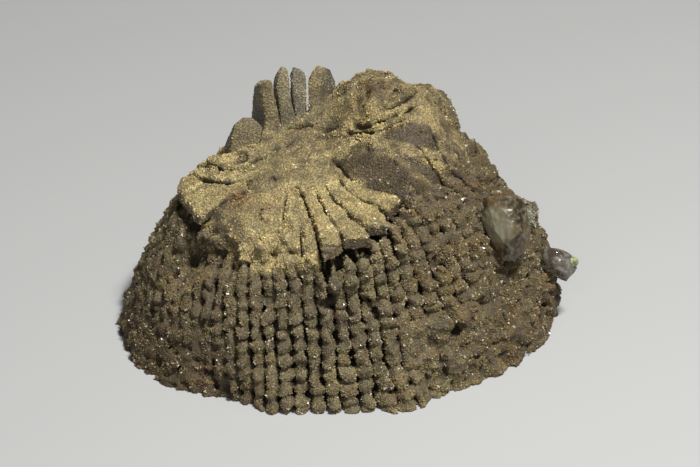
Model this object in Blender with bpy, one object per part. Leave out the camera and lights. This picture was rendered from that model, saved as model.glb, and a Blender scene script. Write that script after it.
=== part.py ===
"""Fossil rugose coral: a solitary coral turned to quartz, cut off flat underneath.

Metres, +Z up, front towards -Y. The design is drawn round the coral's growth axis, whose foot is
at the origin, and the last step moves everything so that the origin is the middle of the underside.
"""

import math

import bmesh
import bpy
import numpy as np
from mathutils import Matrix, Vector

TAU = math.tau
MM = 0.001

# Growth axis: it leans back and to the left from the cut face to the middle of the calice.
CALICE_CENTRE = Vector((-0.0042, 0.0020, 0.0208))

# Twelve stations round the axis, 30 degrees apart, counted from +X towards the back.
BASE_RADIUS = np.array([26.0, 25.8, 24.0, 23.0, 23.8, 25.6, 26.3, 27.4, 24.8, 23.6, 23.2, 24.6]) * MM
RIM_RADIUS = np.array([22.0, 19.2, 16.0, 13.8, 13.5, 13.6, 14.4, 15.4, 16.6, 16.4, 17.0, 19.2]) * MM
RIM_HEIGHT = np.array([18.9, 19.4, 20.0, 19.0, 18.6, 18.2, 17.6, 16.8, 17.2, 18.3, 18.7, 19.2]) * MM
WALL_BULGE = 0.85  # below 1, the wall is convex between rim and cut face
RIM_ROUNDING = 0.0012

# How far a septum swings round the axis, in degrees for each millimetre inside the rim or below it.
SWING_INSIDE = np.array([-2.6, -2.0, -0.6, 0.0, 0.8, 2.0, 3.0, 1.4, 0.2, -0.9, -0.5, -1.2])
SWING_BELOW = np.array([0.3, 0.1, 0.0, 0.0, 0.0, 0.0, 0.3, 0.9, 0.2, -0.25, -0.2, 0.2])

# Septa: each major one is a flat-topped ridge in the calice and two columns of beads on the wall.
MAJOR_SEPTA = 34
SPOKES_PER_SEPTUM = 4
FIRST_GROOVE = math.radians(275.6)
GROOVE_DEPTH = 0.0010
GROOVE_SHARE = np.array([0.6, 0.4, 0.3, 0.5, 0.5, 0.5, 0.7, 0.5, 0.15, 1.0, 1.0, 0.8])
RIDGE_CROWN = 0.0002
BOSS_RADIUS = 0.0045  # the smooth boss in the middle, where no groove reaches
CALICE_RINGS = (0.12, 0.26, 0.40, 0.54, 0.67, 0.79, 0.90, 0.98)  # shares of the rim radius

# Lattice of the wall.
BEAD_ROWS = 12
BEAD_HEIGHT = 0.0004
BAR_DEPTH = 0.0005
PIT_DEPTH = 0.0014
ROUGHNESS = 0.0002

# Lumps on the calice: place of the middle, radius and height. The first two are the tall knob, and
# the last one is the step up to the right-hand septa.
CALICE_LUMPS = (
    (0.0040, 0.0092, 0.0054, 0.0074),
    (0.0100, 0.0090, 0.0044, 0.0062),
    (0.0145, 0.0065, 0.0034, 0.0012),
    (-0.0120, 0.0040, 0.0040, 0.0006),
    (0.0094, 0.0012, 0.0056, 0.0022),
)

# Ledge over the front left wall, and the hollow below it.
LEDGE_AZIMUTH = 262.0  # degrees, as is the half width
LEDGE_HALF_WIDTH = 26.0
LEDGE_OVERHANG = 0.0010
UNDERCUT_DEPTH = 0.0012
UNDERCUT_PLACE = 0.14  # share of the way from rim to cut face
UNDERCUT_SPREAD = 0.05

# Spots where the wall swells or is hollow: azimuth in degrees, height, radius and lift. The last
# one is the nub beside the large crystal.
WALL_SPOTS = (
    (214.0, 0.0118, 0.0022, -0.0020),
    (222.0, 0.0134, 0.0018, -0.0018),
    (233.0, 0.0145, 0.0022, -0.0022),
    (290.0, 0.0010, 0.0026, 0.0012),
    (254.0, 0.0010, 0.0024, 0.0010),
    (2.0, 0.0075, 0.0065, 0.0018),
    (-3.0, 0.0136, 0.0015, 0.0034),
)

# Free-standing septal blades: foot of the inner edge, azimuth in degrees, length, top, thickness.
BLADES = (
    (-0.0100, 0.0048, 128.0, 0.0046, 0.0226, 0.0026),
    (-0.0081, 0.0054, 105.0, 0.0068, 0.0264, 0.0021),
    (-0.0061, 0.0060, 98.0, 0.0072, 0.0281, 0.0017),
    (-0.0044, 0.0070, 90.0, 0.0072, 0.0274, 0.0015),
    (-0.0028, 0.0078, 76.0, 0.0068, 0.0274, 0.0019),
)
BLADE_ROOT = 0.0140  # height at which every blade is rooted inside the coral
BLADE_OUTLINE = (  # shares of the length, and of the height above the root
    (0.12, 0.00),
    (0.00, 0.56),
    (0.10, 0.78),
    (0.28, 0.93),
    (0.50, 1.00),
    (0.72, 0.97),
    (0.90, 0.84),
    (1.02, 0.60),
    (1.10, 0.00),
)
BLADE_BEVEL = 0.3  # share of the thickness

# Quartz crystals: tip, direction of growth, radius, length and share of the length that is pyramid.
LARGE_CRYSTAL = ((0.0194, -0.0080, 0.0115), (0.02, -0.66, -0.75), 0.0031, 0.0080, 0.42)
SMALL_CRYSTAL = ((0.0287, -0.0016, 0.0073), (0.95, -0.25, 0.02), 0.0020, 0.0070, 0.22)
TIP_GROWTH = ((0.0277, -0.0022, 0.0083), 0.0009)  # middle and radius of the lump on the small one
SOCKET_GAP = 0.0003


def around(stations, azimuth):
    """The smooth closed curve through evenly spaced stations, at each azimuth in radians."""
    place = np.asarray(azimuth) / TAU * len(stations)
    first = np.floor(place).astype(int)
    f = place - first
    a, b, c, d = (stations[(first + k) % len(stations)] for k in (-1, 0, 1, 2))
    return b + 0.5 * f * (c - a + f * (2 * a - 5 * b + 4 * c - d + f * (3 * (b - c) + d - a)))


def axis_at(height):
    """Where the growth axis is at a height, as x and y."""
    share = height / CALICE_CENTRE.z
    return CALICE_CENTRE.x * share, CALICE_CENTRE.y * share


def apart(azimuth, other_degrees):
    """The angle between two azimuths, in degrees from -180 to 180."""
    return (np.degrees(azimuth) - other_degrees + 180) % 360 - 180


def swung(rim_azimuth, swing, distance):
    """Azimuth of a septum at a distance from the rim, which it crosses at rim_azimuth."""
    azimuth = rim_azimuth
    for _ in range(4):
        azimuth = rim_azimuth + np.radians(around(swing, azimuth)) * distance / MM
    return azimuth


def calice_height(azimuth, radius):
    """Height of the calice floor before the ridges are drawn on it."""
    rim = around(RIM_HEIGHT, azimuth)
    share = radius / around(RIM_RADIUS, azimuth)
    height = CALICE_CENTRE.z + (rim - CALICE_CENTRE.z) * share**2
    axis_x, axis_y = axis_at(height)
    x = axis_x + radius * np.cos(azimuth)
    y = axis_y + radius * np.sin(azimuth)
    raised = np.zeros_like(height)
    for lump_x, lump_y, size, lift in CALICE_LUMPS:
        away = ((x - lump_x) ** 2 + (y - lump_y) ** 2) / size**2
        raised = np.maximum(raised, lift * np.exp(-(away**2)))
    return height + raised


def wall_radius(azimuth, height):
    """Radius of the wall round the axis, before the lattice is drawn on it."""
    rim = around(RIM_RADIUS, azimuth)
    depth = 1 - height / around(RIM_HEIGHT, azimuth)
    radius = rim + (around(BASE_RADIUS, azimuth) - rim) * np.clip(depth, 0, 1) ** WALL_BULGE
    for spot, level, size, lift in WALL_SPOTS:
        sideways = np.radians(apart(azimuth, spot)) * radius
        away = (sideways**2 + (height - level) ** 2) / size**2
        radius = radius + lift * np.exp(-(away**2))
    return radius


def ledge_share(azimuth):
    return np.exp(-((apart(azimuth, LEDGE_AZIMUTH) / LEDGE_HALF_WIDTH) ** 4))


def calice_rings(rim_azimuth, phase, rough):
    """Rings of points from the boss to the rim: flat-topped ridges with narrow grooves."""
    groove = np.where(phase == 0, 1.0, np.where(phase == 2, -RIDGE_CROWN / GROOVE_DEPTH, 0.0))
    rings = []
    for share in CALICE_RINGS:
        rim_radius = around(RIM_RADIUS, rim_azimuth)
        azimuth = swung(rim_azimuth, SWING_INSIDE, rim_radius * (1 - share))
        radius = share * (around(RIM_RADIUS, azimuth) + LEDGE_OVERHANG * ledge_share(azimuth))
        height = calice_height(azimuth, radius)
        grooved = np.clip((radius - BOSS_RADIUS) / BOSS_RADIUS, 0, 1) * around(GROOVE_SHARE, azimuth)
        height = height - GROOVE_DEPTH * groove * grooved + ROUGHNESS * rough.normal(size=len(phase))
        height = height - RIM_ROUNDING * share**16
        axis_x, axis_y = axis_at(np.minimum(height, CALICE_CENTRE.z))
        rings.append((axis_x + radius * np.cos(azimuth), axis_y + radius * np.sin(azimuth), height))
    return rings


def wall_rings(rim_azimuth, phase, rough):
    """Rings of points from the rim to the cut face: columns of beads with pits between them."""
    on_column = phase % 2 == 1
    rings = []
    for row in range(2 * BEAD_ROWS):
        below = (row + 1) / (2 * BEAD_ROWS)
        azimuth = rim_azimuth
        for _ in range(4):
            drop = around(RIM_HEIGHT, azimuth) * below
            azimuth = rim_azimuth + np.radians(around(SWING_BELOW, azimuth)) * drop / MM
        top = calice_height(azimuth, around(RIM_RADIUS, azimuth)) - RIM_ROUNDING
        height = top * (1 - below)
        on_bead = row % 2 == 1
        relief = np.where(on_column, BEAD_HEIGHT if on_bead else 0.0, -BAR_DEPTH if on_bead else -PIT_DEPTH)
        relief = relief + ROUGHNESS * rough.normal(size=len(phase))
        undercut = ledge_share(azimuth) * math.exp(-(((below - UNDERCUT_PLACE) / UNDERCUT_SPREAD) ** 2))
        radius = wall_radius(azimuth, height) + relief - UNDERCUT_DEPTH * undercut
        axis_x, axis_y = axis_at(height)
        rings.append((axis_x + radius * np.cos(azimuth), axis_y + radius * np.sin(azimuth), height))
    return rings


def mesh_from(name, bm):
    mesh = bpy.data.meshes.new(name)
    bm.to_mesh(mesh)
    bm.free()
    return mesh


def add_object(name, mesh, material=None):
    obj = bpy.data.objects.new(name, mesh)
    bpy.context.scene.collection.objects.link(obj)
    if material:
        mesh.materials.append(material)
    return obj


def mound_mesh():
    """The coral without its blades: the calice, the rim and the wall, closed by the flat cut face."""
    rough = np.random.default_rng(11)
    spokes = MAJOR_SEPTA * SPOKES_PER_SEPTUM
    rim_azimuth = FIRST_GROOVE + np.arange(spokes) * TAU / spokes
    phase = np.arange(spokes) % SPOKES_PER_SEPTUM
    rings = calice_rings(rim_azimuth, phase, rough) + wall_rings(rim_azimuth, phase, rough)
    points = [tuple(CALICE_CENTRE)]
    for ring in rings:
        points += list(zip(*ring))
    start = [1 + k * spokes for k in range(len(rings))]
    following = [(k + 1) % spokes for k in range(spokes)]
    faces = [(0, start[0] + k, start[0] + following[k]) for k in range(spokes)]
    for upper, lower in zip(start, start[1:]):
        faces += [
            (upper + k, lower + k, lower + following[k], upper + following[k]) for k in range(spokes)
        ]
    faces.append(tuple(start[-1] + k for k in reversed(range(spokes))))
    mesh = bpy.data.meshes.new("mound")
    mesh.from_pydata(points, [], faces)
    mesh.update()
    return mesh


def blade_mesh(foot_x, foot_y, azimuth, length, top, thickness):
    """A tongue-shaped plate standing on edge, rooted inside the mound."""
    bm = bmesh.new()
    rise = top - BLADE_ROOT
    side = [bm.verts.new((s * length, -thickness / 2, h * rise)) for s, h in BLADE_OUTLINE]
    face = bm.faces.new(side)
    made = bmesh.ops.extrude_face_region(bm, geom=[face])
    moved = [v for v in made["geom"] if isinstance(v, bmesh.types.BMVert)]
    bmesh.ops.translate(bm, verts=moved, vec=(0, thickness, 0))
    bmesh.ops.recalc_face_normals(bm, faces=bm.faces)
    rim = [e for e in bm.edges if abs(e.verts[0].co.y - e.verts[1].co.y) < 1e-6]
    bmesh.ops.bevel(bm, geom=rim, offset=thickness * BLADE_BEVEL, segments=1, affect="EDGES")
    turn = Matrix.Rotation(math.radians(azimuth), 4, "Z")
    place = Matrix.Translation((foot_x, foot_y, BLADE_ROOT)) @ turn
    bmesh.ops.transform(bm, matrix=place, verts=bm.verts)
    return mesh_from("blade", bm)


def crystal_mesh(tip, growth, radius, length, pyramid_share, grow=0.0):
    """A six-sided prism with a pyramid at its tip, as quartz grows; grow makes it larger all round."""
    away = Vector(growth).normalized()
    corner_radius = radius + grow / math.cos(TAU / 12)
    bm = bmesh.new()
    rings = []
    for level in (-grow, length * (1 - pyramid_share)):
        corners = [(math.cos(TAU * k / 6), math.sin(TAU * k / 6)) for k in range(6)]
        rings.append([bm.verts.new((corner_radius * x, corner_radius * y, level)) for x, y in corners])
    peak = bm.verts.new((0, 0, length + grow / pyramid_share))
    bm.faces.new(reversed(rings[0]))
    for k in range(6):
        n = (k + 1) % 6
        bm.faces.new((rings[0][k], rings[0][n], rings[1][n], rings[1][k]))
        bm.faces.new((rings[1][k], rings[1][n], peak))
    turn = away.to_track_quat("Z", "Y").to_matrix().to_4x4()
    place = Matrix.Translation(Vector(tip) - away * length) @ turn
    bmesh.ops.transform(bm, matrix=place, verts=bm.verts)
    bmesh.ops.recalc_face_normals(bm, faces=bm.faces)
    return mesh_from("crystal", bm)


def add_helper(name, mesh):
    """A shape that only a Boolean reads."""
    helper = add_object(name, mesh)
    helper.hide_render = True
    helper.display_type = "WIRE"
    return helper


def add_boolean(obj, helper, operation):
    boolean = obj.modifiers.new(helper.name, "BOOLEAN")
    boolean.operation = operation
    boolean.object = helper
    boolean.solver = "EXACT"


def principled(name, colour, roughness, transmission=0.0):
    material = bpy.data.materials.new(name)
    material.use_nodes = True
    shader = material.node_tree.nodes["Principled BSDF"]
    shader.inputs["Base Color"].default_value = (*colour, 1.0)
    shader.inputs["Roughness"].default_value = roughness
    shader.inputs["Metallic"].default_value = 0.0
    shader.inputs["Transmission Weight"].default_value = transmission
    return material


def add_coral():
    stone = principled("silicified_coral", (0.36, 0.27, 0.13), 0.85)
    coral = add_object("coral_skeleton", mound_mesh(), stone)
    for number, blade in enumerate(BLADES):
        add_boolean(coral, add_helper(f"blade_{number}", blade_mesh(*blade)), "UNION")
    for name, crystal in (("large", LARGE_CRYSTAL), ("small", SMALL_CRYSTAL)):
        socket = add_helper(f"socket_{name}", crystal_mesh(*crystal, grow=SOCKET_GAP))
        add_boolean(coral, socket, "DIFFERENCE")
    return coral


def add_large_crystal():
    smoky = principled("smoky_quartz", (0.62, 0.50, 0.34), 0.12, 0.8)
    return add_object("quartz_crystal_large", crystal_mesh(*LARGE_CRYSTAL), smoky)


def add_small_crystal():
    clear = principled("clear_quartz", (0.80, 0.80, 0.78), 0.08, 0.9)
    crystal = add_object("quartz_crystal_small", crystal_mesh(*SMALL_CRYSTAL), clear)
    middle, radius = TIP_GROWTH
    bm = bmesh.new()
    bmesh.ops.create_icosphere(bm, subdivisions=1, radius=radius)
    bmesh.ops.translate(bm, verts=bm.verts, vec=middle)
    add_boolean(crystal, add_helper("tip_growth", mesh_from("tip_growth", bm)), "UNION")
    return crystal


def centre_on_underside(objects):
    """Moves every object so that the origin is the middle of the whole underside."""
    corners = np.array([corner for obj in objects for corner in obj.bound_box])
    middle = (corners.min(axis=0) + corners.max(axis=0)) / 2
    for obj in bpy.data.objects:
        obj.location = (-middle[0], -middle[1], 0.0)


def main():
    for obj in list(bpy.data.objects):
        bpy.data.objects.remove(obj, do_unlink=True)
    parts = [add_coral(), add_large_crystal(), add_small_crystal()]
    bpy.context.view_layer.update()
    centre_on_underside(parts)


main()
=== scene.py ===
"""Looks of the fossil rugose coral: the fine surface of the silicified coral, its sugary quartz
grains, its two quartz crystals, and a plain pale studio.

The coral's form is a field, negative inside the stone, that is worked out in millimetres round the
growth axis and turned into a mesh. FOOT is where that axis meets the underside, in the frame.
"""

import itertools
import math

import bmesh
import bpy
import numpy as np
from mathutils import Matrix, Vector


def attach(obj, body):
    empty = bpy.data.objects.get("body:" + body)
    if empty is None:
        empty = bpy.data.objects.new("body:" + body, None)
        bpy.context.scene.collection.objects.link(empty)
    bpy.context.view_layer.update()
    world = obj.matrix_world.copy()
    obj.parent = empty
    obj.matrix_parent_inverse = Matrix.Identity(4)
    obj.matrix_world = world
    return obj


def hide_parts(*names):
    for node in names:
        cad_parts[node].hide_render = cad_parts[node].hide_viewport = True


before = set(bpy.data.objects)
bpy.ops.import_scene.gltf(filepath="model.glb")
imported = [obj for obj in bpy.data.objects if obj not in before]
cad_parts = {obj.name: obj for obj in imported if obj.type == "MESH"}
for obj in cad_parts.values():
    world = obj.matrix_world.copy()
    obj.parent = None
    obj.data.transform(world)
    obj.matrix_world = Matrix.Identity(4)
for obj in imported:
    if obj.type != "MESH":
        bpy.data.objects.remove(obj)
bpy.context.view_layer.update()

TAU = math.tau
MM = 0.001
FOOT = np.array([-0.9415, 0.3639, 0.0])

# The photograph's view, in millimetres and pixels of its 700 x 467 frame.
IMAGE_SIZE = (700, 467)
PIXEL = 0.12  # millimetres, at the foot of the axis
FOOT_PIXEL = (340.0, 312.0)
VIEW_ELEVATION = math.radians(30)
VIEW_DISTANCE = 0.55

# Form, repeated from the coral's solid: stations every 30 degrees from +X towards the back.
CALICE_CENTRE = (-4.2, 2.0, 20.8)
BASE_RADIUS = np.array([26.0, 25.8, 24.0, 23.0, 23.8, 25.6, 26.3, 27.4, 24.8, 23.6, 23.2, 24.6])
RIM_RADIUS = np.array([22.0, 19.2, 16.0, 13.8, 13.5, 13.6, 14.4, 15.4, 16.6, 16.4, 17.0, 19.2])
RIM_HEIGHT = np.array([18.9, 19.4, 20.0, 19.0, 17.3, 16.2, 17.2, 16.8, 17.2, 18.3, 18.7, 19.2])
WALL_BULGE = 0.85
RIM_BLEND = 1.6
SWING_INSIDE = np.array([-2.6, -2.0, -0.6, 0.0, 0.8, 2.0, 3.0, 1.4, 0.2, -0.9, -0.5, -1.2])
SWING_BELOW = np.array([0.3, 0.1, 0.0, 0.0, 0.0, 0.0, 0.3, 0.9, 0.2, -0.25, -0.2, 0.2])
MAJOR_SEPTA = 34
FIRST_GROOVE = math.radians(275.6)
# Lumps of the calice: x, y, reach and lift. Those of the wall: azimuth, height, reach and lift.
CALICE_LUMPS = (
    (4.2, 9.2, 6.0, 6.2), (10.0, 9.0, 4.4, 5.6), (14.5, 6.5, 3.4, 1.2), (9.4, 1.2, 5.6, 2.2),
)  # fmt: skip
WALL_SPOTS = (
    (214.0, 11.8, 2.2, -2.0), (222.0, 13.4, 1.8, -1.8), (233.0, 14.5, 2.2, -2.2),
    (290.0, 1.0, 2.6, 1.2), (254.0, 1.0, 2.4, 1.0), (2.0, 7.5, 6.5, 1.8), (-3.0, 13.9, 1.8, 2.4),
    (276.0, 15.4, 2.8, 1.8), (288.0, 16.4, 2.4, 1.4), (300.0, 17.0, 2.0, 0.8),
)  # fmt: skip
LEDGE_OVERHANG = 0.6
LEDGE_BLEND = 5.5
UNDERCUT_DEPTH = 0.3
UNDERCUT_PLACE = 0.14
UNDERCUT_SPREAD = 0.05

# Parts of the coral's side: middle and half width in degrees, and how square the fade is.
SECTORS = {
    "ledge": (262.0, 26.0, 4),
    "hidden ridges": (118, 58, 6),
    "front ridges": (290, 34, 6),
    "right shoulder": (0, 32, 6),
    "crumbly ledge": (257, 21, 4),
    "boss": (236, 34, 6),
    "low right": (322, 30, 4),
    "low left": (214, 22, 4),
    "ochre ridges": (283, 38, 6),
    "ochre ledge": (257, 20, 4),
    "pored right": (328, 40, 4),
    "shaded right": (345, 44, 4),
    "shaded left": (214, 30, 4),
}
# Patches of colour: middle and half widths in plan, and the height above which they lie. The nub's
# are in z and y, and x is what it lies beyond.
PATCHES = {
    "boss": (-9.5, -7.0, 6.0, 5.0, -1.0),
    "centre": (0.8, 1.9, 2.8, 2.6, 19.0),
    "knob foot": (2.6, 4.6, 3.2, 3.4, 22.0),
    "knob top": (3.6, 5.8, 3.6, 3.4, 23.0),
    "knob shade": (3.2, 5.4, 3.4, 3.2, 22.5),
    "nub": (14.2, -1.2, 2.4, 1.8, 20.5),
}
KNOB = ((5.0, 9.5), 6.0)  # middle in plan, and reach, of its rough ground
BANDS_ABOVE = 20.0

# Upright blades: y and z of the foot, how far the front leans back for each millimetre of height
# and the sides go to the right for each millimetre of depth, length at the foot, how much of the
# front is grey, and the front's outline in x and z.
BLADES = (
    ((4.6, 19.3, 0.45, -0.20, 3.6, 0.1),
     ((-12.95, 19.0), (-12.82, 20.59), (-12.34, 22.22), (-11.51, 22.97), (-10.56, 22.97),
      (-9.5, 22.22), (-8.55, 21.13), (-9.0, 20.0), (-11.2, 19.0))),
    ((5.2, 21.8, 0.30, -0.30, 5.6, 0.1),
     ((-9.1, 20.6), (-8.75, 23.29), (-9.05, 25.37), (-9.3, 27.1), (-8.75, 27.67), (-8.16, 27.61),
      (-7.90, 26.87), (-7.60, 25.14), (-7.15, 22.6), (-7.0, 20.6))),
    ((5.8, 22.0, 0.55, -0.10, 6.6, 0.45),
     ((-6.8, 20.6), (-6.9, 22.5), (-7.2, 24.29), (-7.5, 26.68), (-7.3, 27.72), (-6.88, 28.3),
      (-6.3, 28.03), (-6.1, 27.1), (-6.05, 25.3), (-5.65, 23.77), (-5.1, 22.3), (-4.9, 20.6))),
    ((6.5, 22.5, 0.50, -0.04, 6.2, 0.9),
     ((-4.6, 21.0), (-5.2, 23.41), (-5.55, 25.21), (-5.65, 27.65), (-5.46, 28.1), (-4.7, 27.85),
      (-4.2, 27.4), (-4.15, 24.68), (-4.2, 22.46), (-4.25, 21.0))),
    ((7.4, 23.6, 0.45, 0.36, 5.6, 0.0),
     ((-3.8, 21.0), (-3.75, 25.43), (-3.7, 26.84), (-3.32, 27.65), (-2.73, 28.2), (-2.25, 28.0),
      (-2.2, 27.16), (-2.55, 25.64), (-2.4, 23.69), (-2.4, 21.0))),
)  # fmt: skip
BLADE_FALL = 0.5  # of the blades' tops, for each millimetre to the back

# Stepped ridges that climb to the knob, as strips of flat ground between a front and a back line of
# as many points.
STRIPS = (
    # the slope at the foot of the blades
    (
        ((-9.5, 3.6, 20.5), (-7.5, 3.6, 20.8), (-5.2, 3.6, 21.0), (-3.5, 3.5, 21.1),
         (-2.1, 4.3, 21.3), (1.1, 2.5, 22.8), (1.1, 2.5, 22.8)),
        ((-9.2, 5.8, 21.7), (-7.0, 6.2, 22.3), (-4.5, 7.0, 22.8), (-2.4, 7.8, 24.0),
         (-0.6, 7.9, 25.2), (1.6, 5.2, 24.8), (1.9, 8.0, 26.6)),
    ),
    # the big flank
    (
        ((-2.1, 4.3, 20.9), (-0.4, -1.2, 20.5), (1.6, -4.3, 20.2), (3.6, -5.9, 20.0),
         (5.9, -7.0, 19.7), (7.2, -8.5, 19.2), (8.1, -9.2, 18.6)),
        ((1.1, 2.2, 22.3), (1.1, 2.2, 22.3), (4.2, -2.2, 23.1), (4.6, -2.6, 23.1),
         (7.3, -4.9, 22.6), (8.4, -6.0, 21.9), (9.0, -6.9, 20.9)),
    ),
    # the saddle behind it
    (
        ((1.1, 2.2, 22.3), (4.2, -2.2, 23.1), (7.3, -4.9, 22.6), (8.4, -6.0, 21.9),
         (9.0, -6.9, 20.9)),
        ((1.1, 2.5, 22.8), (4.3, -1.1, 23.8), (7.0, -3.6, 22.6), (9.3, -4.2, 21.4),
         (10.9, -4.7, 20.1)),
    ),
    # the short flank under the bright band
    (
        ((4.3, -1.1, 23.8), (7.0, -3.6, 22.6), (9.3, -4.2, 21.4), (10.9, -4.7, 20.1)),
        ((4.3, -1.1, 23.8), (6.9, -2.6, 23.9), (9.6, -2.8, 23.3), (12.4, -3.2, 21.3)),
    ),
    # the bright band
    (
        ((1.1, 2.5, 22.8), (4.3, -1.1, 23.8), (6.9, -2.6, 23.9), (9.6, -2.8, 23.3),
         (12.4, -3.2, 21.3)),
        ((1.0, 3.4, 23.1), (4.6, -0.6, 23.9), (7.3, -1.6, 23.9), (9.7, -1.9, 23.4),
         (11.4, -1.4, 22.8)),
    ),
    # the lens-shaped flank
    (
        ((4.6, -0.6, 23.9), (7.3, -1.6, 23.9), (9.7, -1.9, 23.4), (11.4, -1.4, 22.8)),
        ((5.9, -0.3, 24.9), (7.6, -0.3, 25.6), (9.8, 0.0, 25.5), (11.5, -0.6, 24.3)),
    ),
    # the knob's near side: four bands, each a step above the one below
    (
        ((1.0, 3.4, 23.1), (4.6, -0.6, 23.9), (5.9, -0.3, 24.9), (7.6, -0.3, 25.6),
         (9.8, 0.0, 25.5), (11.5, -0.6, 24.3)),
        ((1.2, 3.5, 23.0), (4.0, 0.3, 23.9), (6.1, 0.2, 24.9), (7.5, 0.7, 25.6), (8.9, 2.6, 26.2),
         (10.8, 3.2, 26.0)),
    ),
    (
        ((1.2, 3.5, 23.2), (4.0, 0.3, 24.2), (6.1, 0.2, 25.2), (7.5, 0.7, 25.9), (8.9, 2.6, 26.4)),
        ((1.4, 4.2, 23.7), (3.6, 1.3, 24.2), (6.4, 1.2, 25.5), (7.6, 2.0, 26.2), (8.8, 3.4, 26.6)),
    ),
    (
        ((1.4, 4.2, 24.0), (3.6, 1.3, 24.6), (6.4, 1.2, 25.9), (7.6, 2.0, 26.5), (8.8, 3.4, 26.7)),
        ((1.6, 4.8, 24.4), (3.9, 2.2, 25.0), (7.1, 2.9, 26.5), (8.6, 3.6, 26.8), (10.2, 4.6, 26.8)),
    ),
    (
        ((1.6, 4.8, 24.6), (3.9, 2.2, 25.2), (7.1, 2.9, 26.7), (8.6, 3.6, 26.9), (10.8, 3.2, 26.0)),
        ((1.6, 5.2, 24.8), (3.4, 3.2, 25.6), (7.5, 3.2, 26.9), (8.8, 3.7, 26.9), (11.9, 3.5, 25.2)),
    ),
    # the knob's top
    (
        ((1.6, 5.2, 24.8), (3.4, 3.2, 25.6), (7.5, 3.2, 26.9), (10.0, 3.9, 26.7),
         (11.9, 3.5, 25.2)),
        ((1.9, 8.0, 26.8), (4.0, 7.5, 28.0), (7.5, 7.0, 27.5), (10.0, 7.5, 26.9),
         (12.6, 6.5, 25.0)),
    ),
    # the slope down to the right shoulder
    (
        ((10.9, -4.7, 20.1), (12.4, -3.2, 21.3), (11.4, -1.4, 22.8), (11.5, -0.6, 24.3),
         (11.9, 3.5, 25.2)),
        ((13.0, -4.4, 19.6), (14.6, -2.6, 20.2), (14.6, -0.6, 21.0), (14.6, 0.4, 21.2),
         (15.0, 3.5, 21.4)),
    ),
    # the ground under the four bands
    (
        ((4.6, -0.6, 23.8), (5.9, -0.3, 24.8), (7.6, -0.3, 25.5), (9.8, 0.0, 25.4),
         (11.5, -0.6, 24.3)),
        ((3.4, 3.2, 25.4), (5.2, 2.8, 26.1), (7.5, 3.2, 26.7), (10.0, 3.9, 26.7),
         (11.9, 3.5, 25.2)),
    ),
)  # fmt: skip
STEEP_STRIPS = (1, 3)
LENS_STRIPS = (5,)
BRIGHT_STRIPS = (4, 6, 7, 8, 9)

# Ridges, each a slab with a flat top: the top's height at the axis and its slope along x
# and y, and its outline in plan. SLAB_LINE is where they start, beside the crumbly ledge.
SLABS = (
    ((21.196, -0.083, 0.158),
     ((-4.5, -7.0), (-3.6, -10.5), (-2.7, -13.4), (-2.2, -15.7), (-1.8, -18.0), (0.3, -15.9),
      (-0.8, -12.8), (-1.7, -11.0), (-2.3, -9.2), (-3.1, -6.1))),
    ((20.754, -0.124, 0.089),
     ((-2.9, -6.0), (-2.0, -9.6), (-1.3, -11.5), (-0.5, -13.5), (0.6, -16.2), (3.4, -15.2),
      (2.7, -13.9), (1.2, -11.9), (-0.3, -9.3), (-1.0, -8.2), (-1.6, -6.7), (-2.0, -5.4))),
    ((20.585, -0.100, 0.026),
     ((-1.7, -5.4), (-0.7, -8.7), (0.1, -9.7), (1.6, -12.7), (3.2, -14.2), (5.5, -13.6),
      (5.0, -11.7), (4.1, -10.0), (2.0, -8.6), (0.9, -7.0), (-0.2, -4.6))),
    ((20.777, -0.051, 0.015),
     ((0.0, -4.8), (1.0, -7.1), (2.1, -8.6), (3.2, -9.2), (4.7, -10.6), (5.5, -11.3), (6.1, -10.6),
      (6.8, -9.4), (6.8, -8.5), (5.1, -7.3), (3.3, -6.2), (1.9, -5.2), (0.6, -4.0), (-0.8, -0.3))),
    # three shingled ones on the left
    ((22.9, 0.2, 0.02),
     ((-16.2, 1.8), (-15.0, 2.7), (-12.8, 2.4), (-11.4, 0.1), (-10.1, -1.8), (-10.3, -2.9),
      (-12.0, -2.7), (-14.2, -1.6), (-15.7, -0.2))),
    ((20.85, 0.117, -0.18),
     ((-17.2, 2.3), (-15.7, 1.6), (-14.3, -0.5), (-12.0, -1.7), (-9.9, -1.7), (-10.1, -3.6),
      (-11.7, -4.4), (-13.3, -4.3), (-14.9, -3.5), (-16.1, -1.8), (-17.2, 0.5))),
    ((24.0, 0.31, 0.08),
     ((-18.8, 0.3), (-17.5, 0.2), (-16.1, -1.4), (-14.8, -2.8), (-13.1, -3.8), (-11.0, -4.5),
      (-10.9, -5.9), (-12.5, -6.4), (-13.8, -6.8), (-15.0, -8.1), (-16.3, -9.0), (-16.9, -8.2),
      (-17.5, -6.2), (-18.4, -3.9), (-19.1, -1.7))),
)  # fmt: skip
SLAB_THICKNESS = 1.6
LEFT_SLAB_THICKNESS = 1.3
LEFT_SLABS_END = -9.0  # in x
SLABS_ABOVE = 14.0
SLAB_MOAT = 0.35
SLAB_LINE = ((-4.9, -5.0), (-4.5, -7.2), (-3.8, -10.4), (-2.9, -13.3), (-2.4, -15.7), (-1.9, -19.0))

# Steps of the calice's left: height, width of the slope, reach of the raised ground behind it,
# and the line of its foot in plan. The ground rises on the left of the line.
SCARPS = (
    (0.7, 1.2, 6.0, ((-19.0, -6.0), (-15.9, -6.4), (-13.4, -5.6), (-11.4, -3.2))),
    (1.0, 0.8, 2.0, ((-12.4, 1.0), (-10.6, 0.1), (-9.2, 1.3), (-7.0, 3.0))),
)  # fmt: skip
SCARP_FADE = 1.2

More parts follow.
